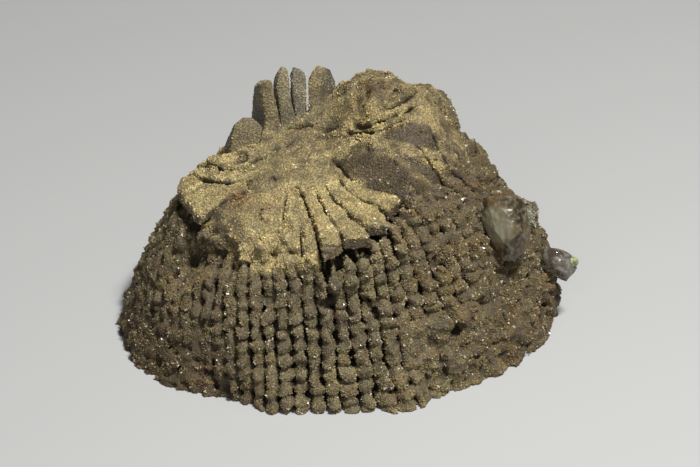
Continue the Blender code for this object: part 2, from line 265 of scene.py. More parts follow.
# Grooves between the ridges: depth, half width, and line in plan.
GROOVES = (
    (0.9, 0.11, ((-4.9, -6.2), (-4.5, -7.2), (-3.8, -10.4), (-2.9, -13.3), (-2.4, -15.7),
                 (-2.1, -17.2))),
    (1.0, 0.16, ((-0.8, -0.4), (1.6, -4.9), (3.6, -6.4), (5.9, -7.4), (7.4, -8.8))),
    (0.9, 0.10, ((-4.6, -13.4), (-4.6, -15.4))),
    (0.7, 0.11, ((-6.3, -7.5), (-6.6, -11.0))),
    (1.6, 0.18, ((1.9, 3.0), (2.5, 2.3), (3.1, 1.9), (3.6, 1.4), (4.3, 1.5), (5.1, 1.3),
                 (6.3, 1.3))),
    (1.6, 0.18, ((5.3, 2.6), (5.8, 2.6), (6.5, 2.8), (7.1, 3.0), (7.5, 3.2), (8.1, 3.8),
                 (8.7, 4.6))),
    (1.6, 0.18, ((1.1, 2.7), (1.7, 2.2), (2.5, 1.6), (3.2, 1.0), (3.6, 0.7))),
    (1.2, 0.17, ((4.6, 0.3), (5.3, 0.2), (6.1, 0.1), (6.7, 0.3), (7.4, 0.3))),
    (1.4, 0.18, ((7.8, 1.6), (8.5, 2.3))),
    (0.7, 0.16, ((-1.8, 4.7), (-1.2, 4.5), (-0.7, 4.3))),
    (1.0, 0.25, ((-16.8, 2.4), (-15.5, 1.4), (-14.3, 0.0), (-13.9, -1.0), (-12.9, -1.5),
                 (-11.4, -1.8))),
    (1.1, 0.27, ((-16.2, -1.1), (-15.6, -2.0), (-14.9, -2.8), (-13.8, -3.5), (-12.9, -3.9),
                 (-12.0, -3.9))),
    (1.3, 0.20, ((-12.2, 0.4), (-10.6, -0.3), (-9.2, 0.9))),
    (0.9, 0.13, ((-9.2, 0.9), (-7.6, 2.2), (-6.2, 3.2))),
    (0.8, 0.14, ((-5.8, 5.5), (-4.7, 5.5), (-3.6, 5.4))),
    (1.0, 0.14, ((9.2, -2.4), (11.5, -4.0), (14.2, -5.2))),
    (0.9, 0.13, ((11.0, -1.0), (13.2, -2.8), (15.6, -3.6))),
    (0.9, 0.13, ((12.5, 1.2), (14.6, -0.8), (16.8, -2.0))),
)  # fmt: skip
GROOVE_FADE = 0.5
GROOVES_ABOVE = 13.0
GROOVE_SLOPE = 2.0  # the steepest ground that grooves are set square to
GROOVE_REACH = 3.0

# How far past the rim each of the 34 ridges ends and the lattice starts, from the front round to
# the right.
RIDGE_ENDS = (
    0.4, -0.8, -1.0, -2.4, -3.2, -3.6, -3.6, -3.4, -3.0, -2.6, -2.4, -2.0, -1.6, -1.2, -1.0, -0.6,
    -0.2, 0.2, -0.2, 0.3, 0.0, 0.4, -0.1, 0.3, 0.1, 0.6, 0.5, 0.5, 0.6, 1.2, 2.4, 3.5, 3.5, 3.9,
)  # fmt: skip
RIDGE_LIFT = 0.75
RIDGE_EDGE_LIFT = 0.35  # of the lattice just past the ends of the ridges

# Hollows and lumps of the wall: x, y, z and radius; the lumps' last value is their lift.
HOLLOWS = (
    (-14.6, -9.9, 16.2, 0.7), (-17.2, -8.3, 12.2, 0.8), (-19.2, -8.9, 10.3, 0.7),
    (-13.6, -10.9, 14.0, 0.7), (-8.6, -17.6, 11.4, 0.8), (-1.2, -18.2, 12.0, 1.0),
    (-0.6, -20.0, 8.0, 0.9), (-4.3, -21.4, 5.0, 0.8), (-13.6, -20.5, 1.4, 1.1),
    (3.1, -17.8, 11.4, 1.0), (11.8, -12.4, 13.9, 0.9), (12.6, -12.0, 13.8, 0.8),
    (11.0, -17.1, 6.4, 0.8), (13.5, -15.1, 6.2, 0.9), (15.6, -17.0, 1.6, 0.7),
    (-11.6, 0.4, 20.4, 0.7), (2.4, 2.8, 23.8, 0.4), (1.8, 1.0, 22.4, 0.4), (3.3, -1.4, 22.7, 0.7),
    (1.2, -0.6, 21.6, 0.4), (9.5, 7.4, 27.5, 0.8),
)  # fmt: skip
LUMPS = (
    (14.3, -14.3, 7.6, 1.6, 0.8), (22.7, -7.8, 2.9, 2.8, 0.8), (20.5, -11.5, 5.0, 2.2, 0.5),
    (13.9, -17.2, 3.0, 1.5, 0.8), (9.9, -19.0, 3.8, 1.4, 0.6), (-9.0, -14.6, 16.4, 1.2, 0.4),
    (-6.4, -15.4, 15.2, 1.2, 0.4),
)  # fmt: skip

# Lattice of the wall.
ROW_PITCH = 1.66
WALL_SLOPE = 1.12  # length along the wall for each millimetre of height
BEAD_SHARE = 0.45  # bead radius for each millimetre between columns
BEAD_HEIGHT = 0.74
BEAD_DEPTH = 0.8
BEAD_SINK = 0.52
ROD_RADIUS = 0.52
ROD_SINK = 0.66
BAR_RADIUS = 0.36
BAR_SINK = 1.15
PIT_FLOOR = 2.5

# The stone's noise: size of the lumps, and seed. The first three are broad, middle and small.
FORM_NOISE = ((2.4, 31), (1.3, 32), (0.95, 33), (1.1, 35))
NOISE_EDGE = 32  # cells along each side of the tables of chance, which repeat
NOWHERE = -99.0  # height of ground that isn't there
FADED = 40  # the power at which a bump's fade is as good as nothing

# Share of true lattice on the wall at each azimuth in degrees; the rest is lumpy.
LATTICE_AZIMUTHS = (0, 20, 60, 150, 180, 205, 225, 245, 262, 300, 312, 325, 340)
LATTICE_SHARES = (0.7, 0.7, 0.9, 0.9, 0.8, 0.7, 0.8, 0.95, 1.0, 1.0, 0.95, 0.85, 0.7)

# Corner points of the two crystals, which are the hulls of these.
LARGE_CRYSTAL = (
    (17.14, -4.31, 18.08), (18.86, -4.28, 18.33), (20.19, -4.34, 18.23), (21.25, -4.43, 17.88),
    (21.91, -5.02, 16.86), (22.07, -5.49, 16.05), (22.43, -6.08, 14.63), (22.19, -7.16, 12.95),
    (21.25, -7.83, 12.39), (20.43, -8.42, 11.77), (19.14, -8.39, 11.82), (18.67, -8.04, 12.23),
    (17.85, -7.1, 13.45), (17.26, -6.05, 14.88), (16.24, -4.85, 15.95), (16.5, -4.44, 16.66),
    (18.86, -6.32, 17.61), (19.7, -7.25, 17.05), (20.3, -8.34, 15.12), (19.61, -8.72, 13.85),
    (17.61, -6.12, 16.95), (20.78, -6.25, 17.43), (21.25, -7.49, 15.58), (21.02, -8.26, 13.85),
    (18.2, -7.41, 15.12), (17.61, 0.44, 14.52), (21.6, 0.33, 14.32), (21.6, -1.73, 10.76),
    (18.43, -1.73, 10.76),
)  # fmt: skip
SMALL_CRYSTAL = (
    (24.36, -0.74, 9.35), (25.91, -0.91, 9.24), (26.98, -1.09, 8.93), (27.57, -1.24, 8.47),
    (28.17, -1.99, 7.18), (27.76, -2.34, 6.57), (26.91, -2.79, 5.8), (26.26, -2.68, 5.99),
    (24.96, -2.22, 6.77), (24.36, -1.58, 7.5), (25.91, -2.46, 8.97), (27.21, -2.52, 8.46),
    (26.26, -3.29, 7.53), (24.72, -2.17, 8.66), (27.1, -2.98, 7.07), (24.48, 1.22, 7.53),
    (27.1, 0.63, 7.32), (27.33, -0.2, 5.88), (24.72, 0.27, 5.88), (23.3, -0.48, 8.79),
    (23.3, -1.37, 7.24),
)  # fmt: skip
LARGE_PALE = ((18.2, -7.0, 15.7), 2.3)  # middle and reach of the crystal's pale part
SMALL_PALE = ((27.2, -2.0, 7.6), 1.6)
EDGE_REACH = 0.12
CHIP_DEPTH = 0.16
SOCKET_ROOM = 0.08
TIP_GROWTH = ((27.75, -1.95, 8.05), 0.60)
TIP_STRETCH = (1, 1, 1.25)

QUARTZ_IOR = 1.54
# Studio, in metres and watts: each light's name, place, size and power, and what both face.
LIGHTS = (("key", (0.10, -0.11, 0.34), 0.06, 1.85), ("fill", (-0.10, -0.42, 0.24), 0.30, 0.32))
LIT_POINT = (0, 0, 0.012)
FLOOR_SIZE = 4.0
FLOOR_COLOUR = (0.44, 0.44, 0.43, 1)
SKY_COLOUR = (1.0, 0.98, 0.95, 1)
SKY_STRENGTH = 0.10
SENSOR_WIDTH = 36.0  # millimetres

VOXEL = 0.16
GRID_LOW = (-28.0, -26.5, -1.0)
GRID_LENGTHS = (56.0, 52.0, 31.0)
MOST_TRIANGLES = 196_000
GRAINS = 49_000  # in each piece, of four triangles each
GRAIN_RADIUS = 0.16
GRAIN_CLUMPS = (0.75, 54)  # size of the lumps, and seed
GRAIN_SIDES = (-78, 5, 85)  # where the meshes below the rim meet, in degrees from the front
RIM_GRAINS = 15.2  # the height at which those above it start
ROUGHNESS = 0.03
CREASE = math.radians(38)


def around(stations, azimuth):
    """The smooth closed curve through evenly spaced stations, at each azimuth in radians."""
    place = azimuth * (len(stations) / TAU)
    first = np.floor(place).astype(np.int32)
    f = place - first
    a, b, c, d = (stations.astype(np.float32)[(first + k) % len(stations)] for k in (-1, 0, 1, 2))
    return b + 0.5 * f * (c - a + f * (2 * a - 5 * b + 4 * c - d + f * (3 * (b - c) + d - a)))


def apart(azimuth, other_degrees):
    """The angle between two azimuths, in degrees from -180 to 180."""
    return (np.degrees(azimuth) - other_degrees + 180) % 360 - 180


def sector(azimuth, name):
    """How far each azimuth is in a part of the coral's side, 1 at its middle."""
    middle, half_width, power = SECTORS[name]
    return np.exp(-((apart(azimuth, middle) / half_width) ** power))


def patch(u, v, w, name):
    """How far each place is in a patch of colour, 1 at its middle."""
    middle_u, middle_v, half_u, half_v, least = PATCHES[name]
    away = ((u - middle_u) / half_u) ** 2 + ((v - middle_v) / half_v) ** 2
    return np.exp(-(away**2)) * (w > least)


def dome(places, seat, reach):
    """A bump with a flat top, 1 at its seat and nothing past about 1.5 times its reach."""
    away = sum((value - middle) ** 2 for value, middle in zip(places, seat)) / reach**2
    return np.exp(-np.minimum(away**2, FADED))


def smooth_step(low, high, value):
    share = np.clip((value - low) / (high - low), 0, 1)
    return share * share * (3 - 2 * share)


def smooth_least(a, b, blend):
    """The lesser of two fields, rounded over where they are within blend of each other."""
    near = np.maximum(blend - np.abs(a - b), 0) / blend
    return np.minimum(a, b) - near * near * blend / 4


def smooth_most(a, b, blend):
    return -smooth_least(-a, -b, blend)


def in_cells(places, size):
    """The cell of each point on each axis, and how far it is into it."""
    places = [value / size for value in places]
    lows = [np.floor(place) for place in places]
    parts = [(place - low).astype(np.float32) for place, low in zip(places, lows)]
    return [low.astype(np.int32) for low in lows], parts


def table_place(cells, step):
    """Where the cells that are a step away are in the tables of chance."""
    index = 0
    for cell, move in zip(cells, step):
        index = index * NOISE_EDGE + (cell + move) % NOISE_EDGE
    return index


def value_noise(x, y, z, size, seed):
    """Smooth noise from -1 to 1 with lumps about one size apart."""
    lattice = np.random.default_rng(seed).uniform(-1, 1, NOISE_EDGE**3).astype(np.float32)
    cells, parts = in_cells((x, y, z), size)
    parts = [part * part * (3 - 2 * part) for part in parts]
    total = 0
    for number in range(8):
        corner = [number >> axis & 1 for axis in range(3)]
        weight = 1
        for up, part in zip(corner, parts):
            weight = weight * (part if up else 1 - part)
        total = total + weight * lattice[table_place(cells, corner)]
    return total


def crumble(x, y, z, size, seed):
    """Heights from about -1 to 1 of a surface broken into tilted blocks about one size across."""
    random = np.random.default_rng(seed)
    seats = random.uniform(0, 1, (NOISE_EDGE**3, 3)).astype(np.float32)
    tilts = random.standard_normal((NOISE_EDGE**3, 3)).astype(np.float32)
    levels = random.uniform(-1, 1, NOISE_EDGE**3).astype(np.float32)
    cells, parts = in_cells((x, y, z), size)
    nearest = np.full(x.shape, 9.0, np.float32)
    height = np.zeros(x.shape, np.float32)
    for step in itertools.product((-1, 0, 1), repeat=3):
        index = table_place(cells, step)
        gaps = [parts[axis] - step[axis] - seats[index, axis] for axis in range(3)]
        away = gaps[0] ** 2 + gaps[1] ** 2 + gaps[2] ** 2
        tilt = sum(gap * tilts[index, axis] for axis, gap in enumerate(gaps))
        nearer = away < nearest
        nearest = np.where(nearer, away, nearest)
        height = np.where(nearer, levels[index] * 0.5 + tilt, height)
    return np.clip(height, -1, 1)


def chance(a, b, seed):
    """A fixed random number from 0 to 1 for each pair of whole numbers."""
    table = np.random.default_rng(seed).random(4096).astype(np.float32)
    return table[(a.astype(np.int64) * 73 + b.astype(np.int64) * 1013 + 7) % 4096]


def line_place(x, y, points):
    """Signed distance in plan to a line, positive on its left, and the distance past its ends."""
    nearest = np.full(x.shape, 1e9, np.float32)
    signed = np.zeros(x.shape, np.float32)
    past = np.zeros(x.shape, np.float32)
    last = len(points) - 2
    for number, ((ax, ay), (bx, by)) in enumerate(zip(points, points[1:])):
        length = math.hypot(bx - ax, by - ay)
        ux, uy = (bx - ax) / length, (by - ay) / length
        along = (x - ax) * ux + (y - ay) * uy
        across = (y - ay) * ux - (x - ax) * uy
        before = np.maximum(-along, 0)
        beyond = np.maximum(along - length, 0)
        gap = (before if number else 0) + (beyond if number < last else 0)
        away = np.hypot(across, gap)
        nearer = away < nearest
        nearest = np.where(nearer, away, nearest)
        signed = np.where(nearer, np.copysign(away, across), signed)
        over = (0 if number else before) + (0 if number < last else beyond)
        past = np.where(nearer, over, past)
    return signed, past


def outline_field(x, y, points):
    """Signed distance to a closed outline, negative inside."""
    nearest = np.full(x.shape, 1e9, np.float32)
    inside = np.zeros(x.shape, bool)
    for (ax, ay), (bx, by) in zip(points, points[1:] + points[:1]):
        dx, dy = bx - ax, by - ay
        if dx == dy == 0:
            continue
        share = np.clip(((x - ax) * dx + (y - ay) * dy) / (dx * dx + dy * dy), 0, 1)
        nearest = np.minimum(nearest, np.hypot(x - ax - share * dx, y - ay - share * dy))
        if dy:
            inside ^= ((ay > y) != (by > y)) & (x < ax + (y - ay) * dx / dy)
    return np.where(inside, -nearest, nearest)


def scarp_lift(x, y):
    """How far the calice's steps raise the ground."""
    lift = np.zeros(x.shape, np.float32)
    for height, ramp, reach, points in SCARPS:
        side, past = line_place(x, y, points)
        rise = np.clip(side / ramp, 0, 1) * np.exp(-((np.maximum(side - ramp, 0) / reach) ** 2))
        lift = lift + height * rise * np.exp(-((past / SCARP_FADE) ** 2))
    return lift


def groove_depth(x, y):
    """Depth of the grooves that are drawn one by one."""
    depth = np.zeros(x.shape, np.float32)
    for deepest, width, points in GROOVES:
        side, past = line_place(x, y, points)
        cut = deepest * np.exp(-((side / width) ** 2) - (past / GROOVE_FADE) ** 2)
        depth = np.maximum(depth, cut)
    return depth


def strip_ground(x, y):
    """Height of the stepped ridges, and far below the coral where there are none."""
    height = np.full(x.shape, NOWHERE, np.float32)
    for strip in STRIPS:
        for (p, q), (r, s) in itertools.pairwise(zip(*strip)):
            for a, b, c in ((p, r, s), (p, s, q)):
                turn = (b[0] - a[0]) * (c[1] - a[1]) - (b[1] - a[1]) * (c[0] - a[0])
                if turn == 0:
                    continue
                share_b = ((x - a[0]) * (c[1] - a[1]) - (y - a[1]) * (c[0] - a[0])) / turn
                share_c = ((b[0] - a[0]) * (y - a[1]) - (b[1] - a[1]) * (x - a[0])) / turn
                inside = (share_b >= 0) & (share_c >= 0) & (share_b + share_c <= 1)
                level = a[2] + share_b * (b[2] - a[2]) + share_c * (c[2] - a[2])
                height = np.maximum(height, np.where(inside, level, NOWHERE))
    return height


def nearest_outline(x, y, outlines):
    """Distance in plan to the nearest of some outlines, negative inside."""
    return np.min([outline_field(x, y, outline) for outline in outlines], axis=0)


def slab_edge(x, y):
    """Distance in plan to the nearest slab, negative inside."""
    return nearest_outline(x, y, [outline for _, outline in SLABS])


def slab_top(x, y):
    """Height of the nearest slab's top."""
    nearest = np.full(x.shape, 1e9, np.float32)
    top = np.zeros(x.shape, np.float32)
    for (height, slope_x, slope_y), outline in SLABS:
        away = outline_field(x, y, outline)
        top = np.where(away < nearest, height + slope_x * x + slope_y * y, top)
        nearest = np.minimum(nearest, away)
    return top


def slab_side(x, y):
    """How far a place is past the line at which the slabs start."""
    return line_place(x, y, SLAB_LINE)[0]


def strip_map(numbers):
    """A map of the distance in plan to the nearest of some strips, negative inside."""
    strips = [STRIPS[number] for number in numbers]
    outlines = [[point[:2] for point in (*front, *reversed(back))] for front, back in strips]
    return PlanMap(lambda x, y: nearest_outline(x, y, outlines))


def calice_ground(x, y):
    """Height of the calice floor at each place in plan, before the ridges are drawn on it."""
    from_x, from_y = x - CALICE_CENTRE[0], y - CALICE_CENTRE[1]
    azimuth = np.arctan2(from_y, from_x) % TAU
    share = np.hypot(from_x, from_y) / around(RIM_RADIUS, azimuth)
    height = CALICE_CENTRE[2] + (around(RIM_HEIGHT, azimuth) - CALICE_CENTRE[2]) * share**2
    raised = np.zeros_like(height)
    for *seat, reach, lift in CALICE_LUMPS:
        raised = np.maximum(raised, lift * dome((x, y), seat, reach))
    return np.maximum(height + raised + scarp_lift(x, y), strip_ground(x, y))


class PlanMap:
    """A function of the place in plan, worked out once on a fine grid."""

    def __init__(self, function):
        self.low, self.step, count = -30.0, 0.1, 600
        line = (self.low + self.step * np.arange(count)).astype(np.float32)
        x, y = np.meshgrid(line, line, indexing="ij")
        self.values = function(x.ravel(), y.ravel()).reshape(count, count)

    def at(self, x, y):
        u = np.clip((x - self.low) / self.step, 0, len(self.values) - 1.001)
        v = np.clip((y - self.low) / self.step, 0, len(self.values) - 1.001)
        i, j = u.astype(np.int32), v.astype(np.int32)
        f, g = (u - i).astype(np.float32), (v - j).astype(np.float32)
        near = self.values[i, j] * (1 - g) + self.values[i, j + 1] * g
        far = self.values[i + 1, j] * (1 - g) + self.values[i + 1, j + 1] * g
        return near * (1 - f) + far * f


def wall_radius(azimuth, z):
    """Radius of the wall round the axis, before the lattice is drawn on it."""
    rim = around(RIM_RADIUS, azimuth)
    depth = np.clip(1 - z / around(RIM_HEIGHT, azimuth), 0, 1)
    radius = rim + (around(BASE_RADIUS, azimuth) - rim) * depth**WALL_BULGE
    for spot, level, reach, lift in WALL_SPOTS:
        sideways = np.radians(apart(azimuth, spot)) * radius
        radius = radius + lift * dome((sideways, z), (0, level), reach)
    overhang = LEDGE_OVERHANG * smooth_step(0.10, 0.02, depth)
    undercut = UNDERCUT_DEPTH * np.exp(-(((depth - UNDERCUT_PLACE) / UNDERCUT_SPREAD) ** 2))
    return radius + sector(azimuth, "ledge") * (overhang - undercut)


def groove_at(x, y, z):
    """Depth of the grooves at a point, cut in at right angles to the ground."""
    step, most = 0.2, GROOVE_SLOPE
    slope_x = np.clip((ground.at(x + step, y) - ground.at(x - step, y)) / (2 * step), -most, most)
    slope_y = np.clip((ground.at(x, y + step) - ground.at(x, y - step)) / (2 * step), -most, most)
    down = np.clip(ground.at(x, y) - z, 0, GROOVE_REACH) / (1 + slope_x**2 + slope_y**2)
    return grooves.at(x - slope_x * down, y - slope_y * down) * (z > GROOVES_ABOVE)


def axis_frame(x, y, z):
    """Azimuth and radius of points round the growth axis."""
    share = np.minimum(z / CALICE_CENTRE[2], 1.0)
    from_x = x - CALICE_CENTRE[0] * share
    from_y = y - CALICE_CENTRE[1] * share
    return np.arctan2(from_y, from_x) % TAU, np.hypot(from_x, from_y)


def hull(x, y, z):
    """Signed distance to the plain form, with the azimuth and radius of each point."""
    azimuth, radius = axis_frame(x, y, z)
    above = (z - ground.at(x, y)) * 0.9
    outside = (radius - wall_radius(azimuth, z)) * 0.9
    blend = RIM_BLEND + (LEDGE_BLEND - RIM_BLEND) * sector(azimuth, "ledge")
    return smooth_most(above, outside, blend), azimuth, radius


def blade_field(x, y, z, blade):
    """Signed distance, near enough, to one upright blade, and to the plane of its front."""
    (foot_y, foot_z, lean, shift, length, _), outline = blade
    depth, height = y - foot_y, z - foot_z
    behind = depth - lean * height
    side = outline_field(x - shift * behind, z + BLADE_FALL * behind, outline) - 0.10
    front = (lean * height - depth) / math.hypot(1, lean)
    back = depth - length + 0.3 * height
    return smooth_most(smooth_most(side, front, 0.35), back, 0.8), front


def septum_place(azimuth, radius, z):
    """Which septum a point is on: whole numbers are the grooves between the major septa."""
    inside = np.maximum(around(RIM_RADIUS, azimuth) - radius, 0)
    below = np.maximum(around(RIM_HEIGHT, azimuth) - z, 0)
    swing = around(SWING_INSIDE, azimuth) * inside + around(SWING_BELOW, azimuth) * below
    return (azimuth - np.radians(swing) - FIRST_GROOVE) * (MAJOR_SEPTA / TAU)


def past_rim(azimuth, radius, z):
    """How far each point is past the rim, out and down the wall, and how far down alone."""
    below = np.maximum(around(RIM_HEIGHT, azimuth) - z, 0)
    return radius - around(RIM_RADIUS, azimuth) + 0.8 * below, below


def ridge_end(septum):
    """How far past the rim the ridge that each point is on ends."""
    whole = np.floor(septum).astype(np.int32)
    return np.asarray(RIDGE_ENDS, np.float32)[whole % MAJOR_SEPTA]


def crystal_planes(corners):
    """Unit normals and distances of the faces of the hull of some corner points."""
    corners = np.array(corners)
    planes = []
    for i, j, k in itertools.combinations(range(len(corners)), 3):
        normal = np.cross(corners[j] - corners[i], corners[k] - corners[i])
        size = np.linalg.norm(normal)
        if size < 1e-6:
            continue
        normal = normal / size
        heights = (corners - corners[i]) @ normal
        if heights.min() < -1e-6 < 1e-6 < heights.max():
            continue
        normal = normal if heights.max() <= 1e-6 else -normal
        planes.append((normal, float(normal @ corners[i])))
    return planes


def crystal_room(x, y, z, planes):
    """Signed distance to the faces of a crystal."""
    room = np.full(x.shape, -1e9, np.float32)
    for normal, distance in planes:
        room = np.maximum(room, x * normal[0] + y * normal[1] + z * normal[2] - distance)
    return room


def lattice_field(plain, radius, below, septum, wobble):
    """Beads on rods, joined by bars, over a floor of pits."""
    pitch = radius * (TAU / MAJOR_SEPTA / 2)
    column = septum * 2
    near_column = np.floor(column).astype(np.int32)
    sideways = (column - near_column - 0.5) * pitch + 0.5 * wobble[0]
    shift = (chance(near_column, near_column * 0, 11) - 0.5) * 0.7
    down = below * WALL_SLOPE + shift + wobble[1]
    row = np.floor(down / ROW_PITCH).astype(np.int32)
    along = down - (row + 0.5) * ROW_PITCH
    size = 0.82 + 0.36 * chance(near_column, row, 21)
    sunk = plain + BEAD_SINK + 0.5 * (chance(near_column, row, 22) - 0.5)
    wide = BEAD_SHARE * pitch * size
    away = np.sqrt((sideways / wide) ** 2 + (along / BEAD_HEIGHT) ** 2 + (sunk / BEAD_DEPTH) ** 2)
    beads = (away - 1) * 0.62
    rods = np.hypot(sideways, plain + ROD_SINK) - ROD_RADIUS
    thin = np.where(chance(near_column, row, 23) < 0.25, 0.3, 0)
    bars = np.hypot(along, plain + BAR_SINK) - BAR_RADIUS + thin
    lattice = smooth_least(smooth_least(beads, rods, 0.3), bars, 0.35)
    filled = np.where(chance(near_column, row, 24) < 0.16, 1.1, 0)
    return smooth_least(lattice, plain + PIT_FLOOR - filled, 0.5)


ground = PlanMap(calice_ground)
grooves = PlanMap(groove_depth)
slab_edges = PlanMap(slab_edge)
slab_tops = PlanMap(slab_top)
slab_sides = PlanMap(slab_side)
flanks = strip_map(STEEP_STRIPS + LENS_STRIPS)
lenses = strip_map(LENS_STRIPS)
bands = strip_map(BRIGHT_STRIPS)
lips = strip_map(BRIGHT_STRIPS[:1])
large_planes = crystal_planes(LARGE_CRYSTAL)
small_planes = crystal_planes(SMALL_CRYSTAL)


def coral_field(x, y, z, fine=True):
    """Signed distance, near enough, to the coral's carved surface; fine adds its small blocks."""
    plain, azimuth, radius = hull(x, y, z)
    for *seat, reach, lift in LUMPS:
        plain = plain - lift * dome((x, y, z), seat, reach)
    septum = septum_place(azimuth, radius, z)
    run, below = past_rim(azimuth, radius, z)
    past_end = run - ridge_end(septum)
    broad, middle, small, spongy = (value_noise(x, y, z, size, seed) for size, seed in FORM_NOISE)
    blocks = crumble(x, y, z, 1.2, 37) if fine else 0
    lumpy = plain + 0.30 * broad + 0.30 * middle + 0.30 * blocks
    pits = 1.6 * np.maximum(spongy - 0.28, 0)

    # Calice: flat-topped ridges with narrow grooves, and rough ground.
    hidden = sector(azimuth, "hidden ridges") * smooth_step(4.0, 8.0, radius)
    front = sector(azimuth, "front ridges") * smooth_step(6.0, 11.0, radius)
    shoulder = sector(azimuth, "right shoulder") * smooth_step(13.0, 16.0, radius)
    ledge = sector(azimuth, "crumbly ledge") * smooth_step(-2.2, 0.0, run)
    boss = sector(azimuth, "boss") * smooth_step(4.0, 7.0, radius)
    knob = dome((x, y), *KNOB) * smooth_step(21.5, 23.5, z) * smooth_step(1.0, 3.5, y - 0.25 * x)
    beside = smooth_step(-0.1, 0.3, slab_sides.at(x, y))
    groove_away = np.abs(septum - np.round(septum)) * (radius * (TAU / MAJOR_SEPTA))
    groove = hidden * np.exp(-((groove_away / 0.26) ** 2))
    whole = np.floor(septum).astype(np.int32)
    step = (chance(whole, whole * 0, 5) - 0.5) * 0.4 * np.maximum(front, hidden)
    lift = RIDGE_LIFT * np.maximum(front * (1 - beside), 0.3) - 0.55 * front * beside
    ridges = plain + groove - lift - step
    ridges = ridges + (0.09 + 0.13 * boss) * middle + (0.13 + 0.03 * boss) * small
    ridges = ridges + 0.08 * value_noise(x, y, z, 0.55, 38)
    rough = np.maximum(np.maximum(knob, shoulder), np.maximum(1.3 * ledge, 0.35 * boss))
    roughness = 0.6 * (lumpy - plain) + 0.2 + (0.5 + 0.6 * knob) * pits
    ridges = ridges + np.clip(rough, 0, 1.3) * roughness

    # Wall: the lattice, and where it is worn, lumps and pits.
    wobble = (0.7 * broad + 0.5 * small, 0.7 * value_noise(x, y, z, 2.1, 36) + 0.35 * middle)
    edge_lift = RIDGE_EDGE_LIFT * front * np.exp(-np.maximum(past_end, 0) / 2.0)
    carved = plain - edge_lift + 0.2 * middle + 0.12 * blocks
    lattice = lattice_field(carved, radius, below, septum, wobble)
    degrees = np.degrees(azimuth)
    share = np.interp(degrees, LATTICE_AZIMUTHS, LATTICE_SHARES, period=360).astype(np.float32)
    low_right = sector(azimuth, "low right") * smooth_step(10.0, 6.0, z)
    low_left = sector(azimuth, "low left") * smooth_step(8.0, 5.0, z)
    share = share * (1 - 0.55 * low_right) * (1 - 0.8 * low_left)
    worn = lumpy + 0.3 + (0.8 + 0.6 * low_left) * pits
    wall = lattice * share + worn * (1 - share) + 0.13 * small
    field = ridges + (wall - ridges) * smooth_step(-0.12, 0.18, past_end + 0.10 * middle)

    # What is added or cut one by one: slabs in their moats, grooves, hollows, blades and sockets.
    top, edge = slab_tops.at(x, y), slab_edges.at(x, y)
    moat = SLAB_MOAT * smooth_step(0.45, 0.15, edge) * smooth_step(0.1, 0.4, top - ground.at(x, y))
    field = field + moat * (z > SLABS_ABOVE)
    thickness = np.where(x < LEFT_SLABS_END, LEFT_SLAB_THICKNESS, SLAB_THICKNESS)
    slab = smooth_most(z - top + 0.10 * middle + 0.06 * small, edge + 0.12 * middle, 0.22)
    field = smooth_least(field, np.maximum(slab, top - thickness - z), 0.15) + groove_at(x, y, z)
    for hole_x, hole_y, hole_z, size in HOLLOWS:
        away = np.sqrt((x - hole_x) ** 2 + (y - hole_y) ** 2 + ((z - hole_z) / 1.4) ** 2)
        field = smooth_most(field, size - away + 0.45 * middle + 0.35 * small, 0.3)
    for blade in BLADES:
        field = smooth_least(field, blade_field(x, y, z, blade)[0] + 0.07 * middle, 0.15)
    for planes in (large_planes, small_planes):
        field = np.maximum(field, SOCKET_ROOM - crystal_room(x, y, z, planes))
    return np.maximum(field, -z)


def field_grid():
    """The field on a grid of voxels, worked out finely only near the surface."""
    low = np.array(GRID_LOW)
    block = 3
    counts = [math.ceil(length / VOXEL / block) * block for length in GRID_LENGTHS]
    axes = [low[k] + VOXEL * np.arange(counts[k], dtype=np.float32) for k in range(3)]
    middles = [axis[::block] + VOXEL * (block - 1) / 2 for axis in axes]
    coarse = [values.astype(np.float32) for values in np.meshgrid(*middles, indexing="ij")]
    plain = hull(*coarse)[0]
    for blade in BLADES:
        plain = np.minimum(plain, blade_field(*coarse, blade)[0])
    plain = np.maximum(plain, -coarse[2])
    near = (plain > -3.8) & (plain < 1.9)
    grid = np.where(plain > 0, 9.0, -9.0).astype(np.float32)
    grid[near] = coral_field(*(values[near] for values in coarse), fine=False)
    near = np.abs(grid) < VOXEL * block * 1.4 + 0.35
    for axis in range(3):
        grid, near = grid.repeat(block, axis), near.repeat(block, axis)
    i, j, k = np.nonzero(near)
    for part in np.array_split(np.arange(len(i)), 6):
        a, b, c = i[part], j[part], k[part]
        grid[a, b, c] = coral_field(axes[0][a], axes[1][b], axes[2][c])
    return grid, low


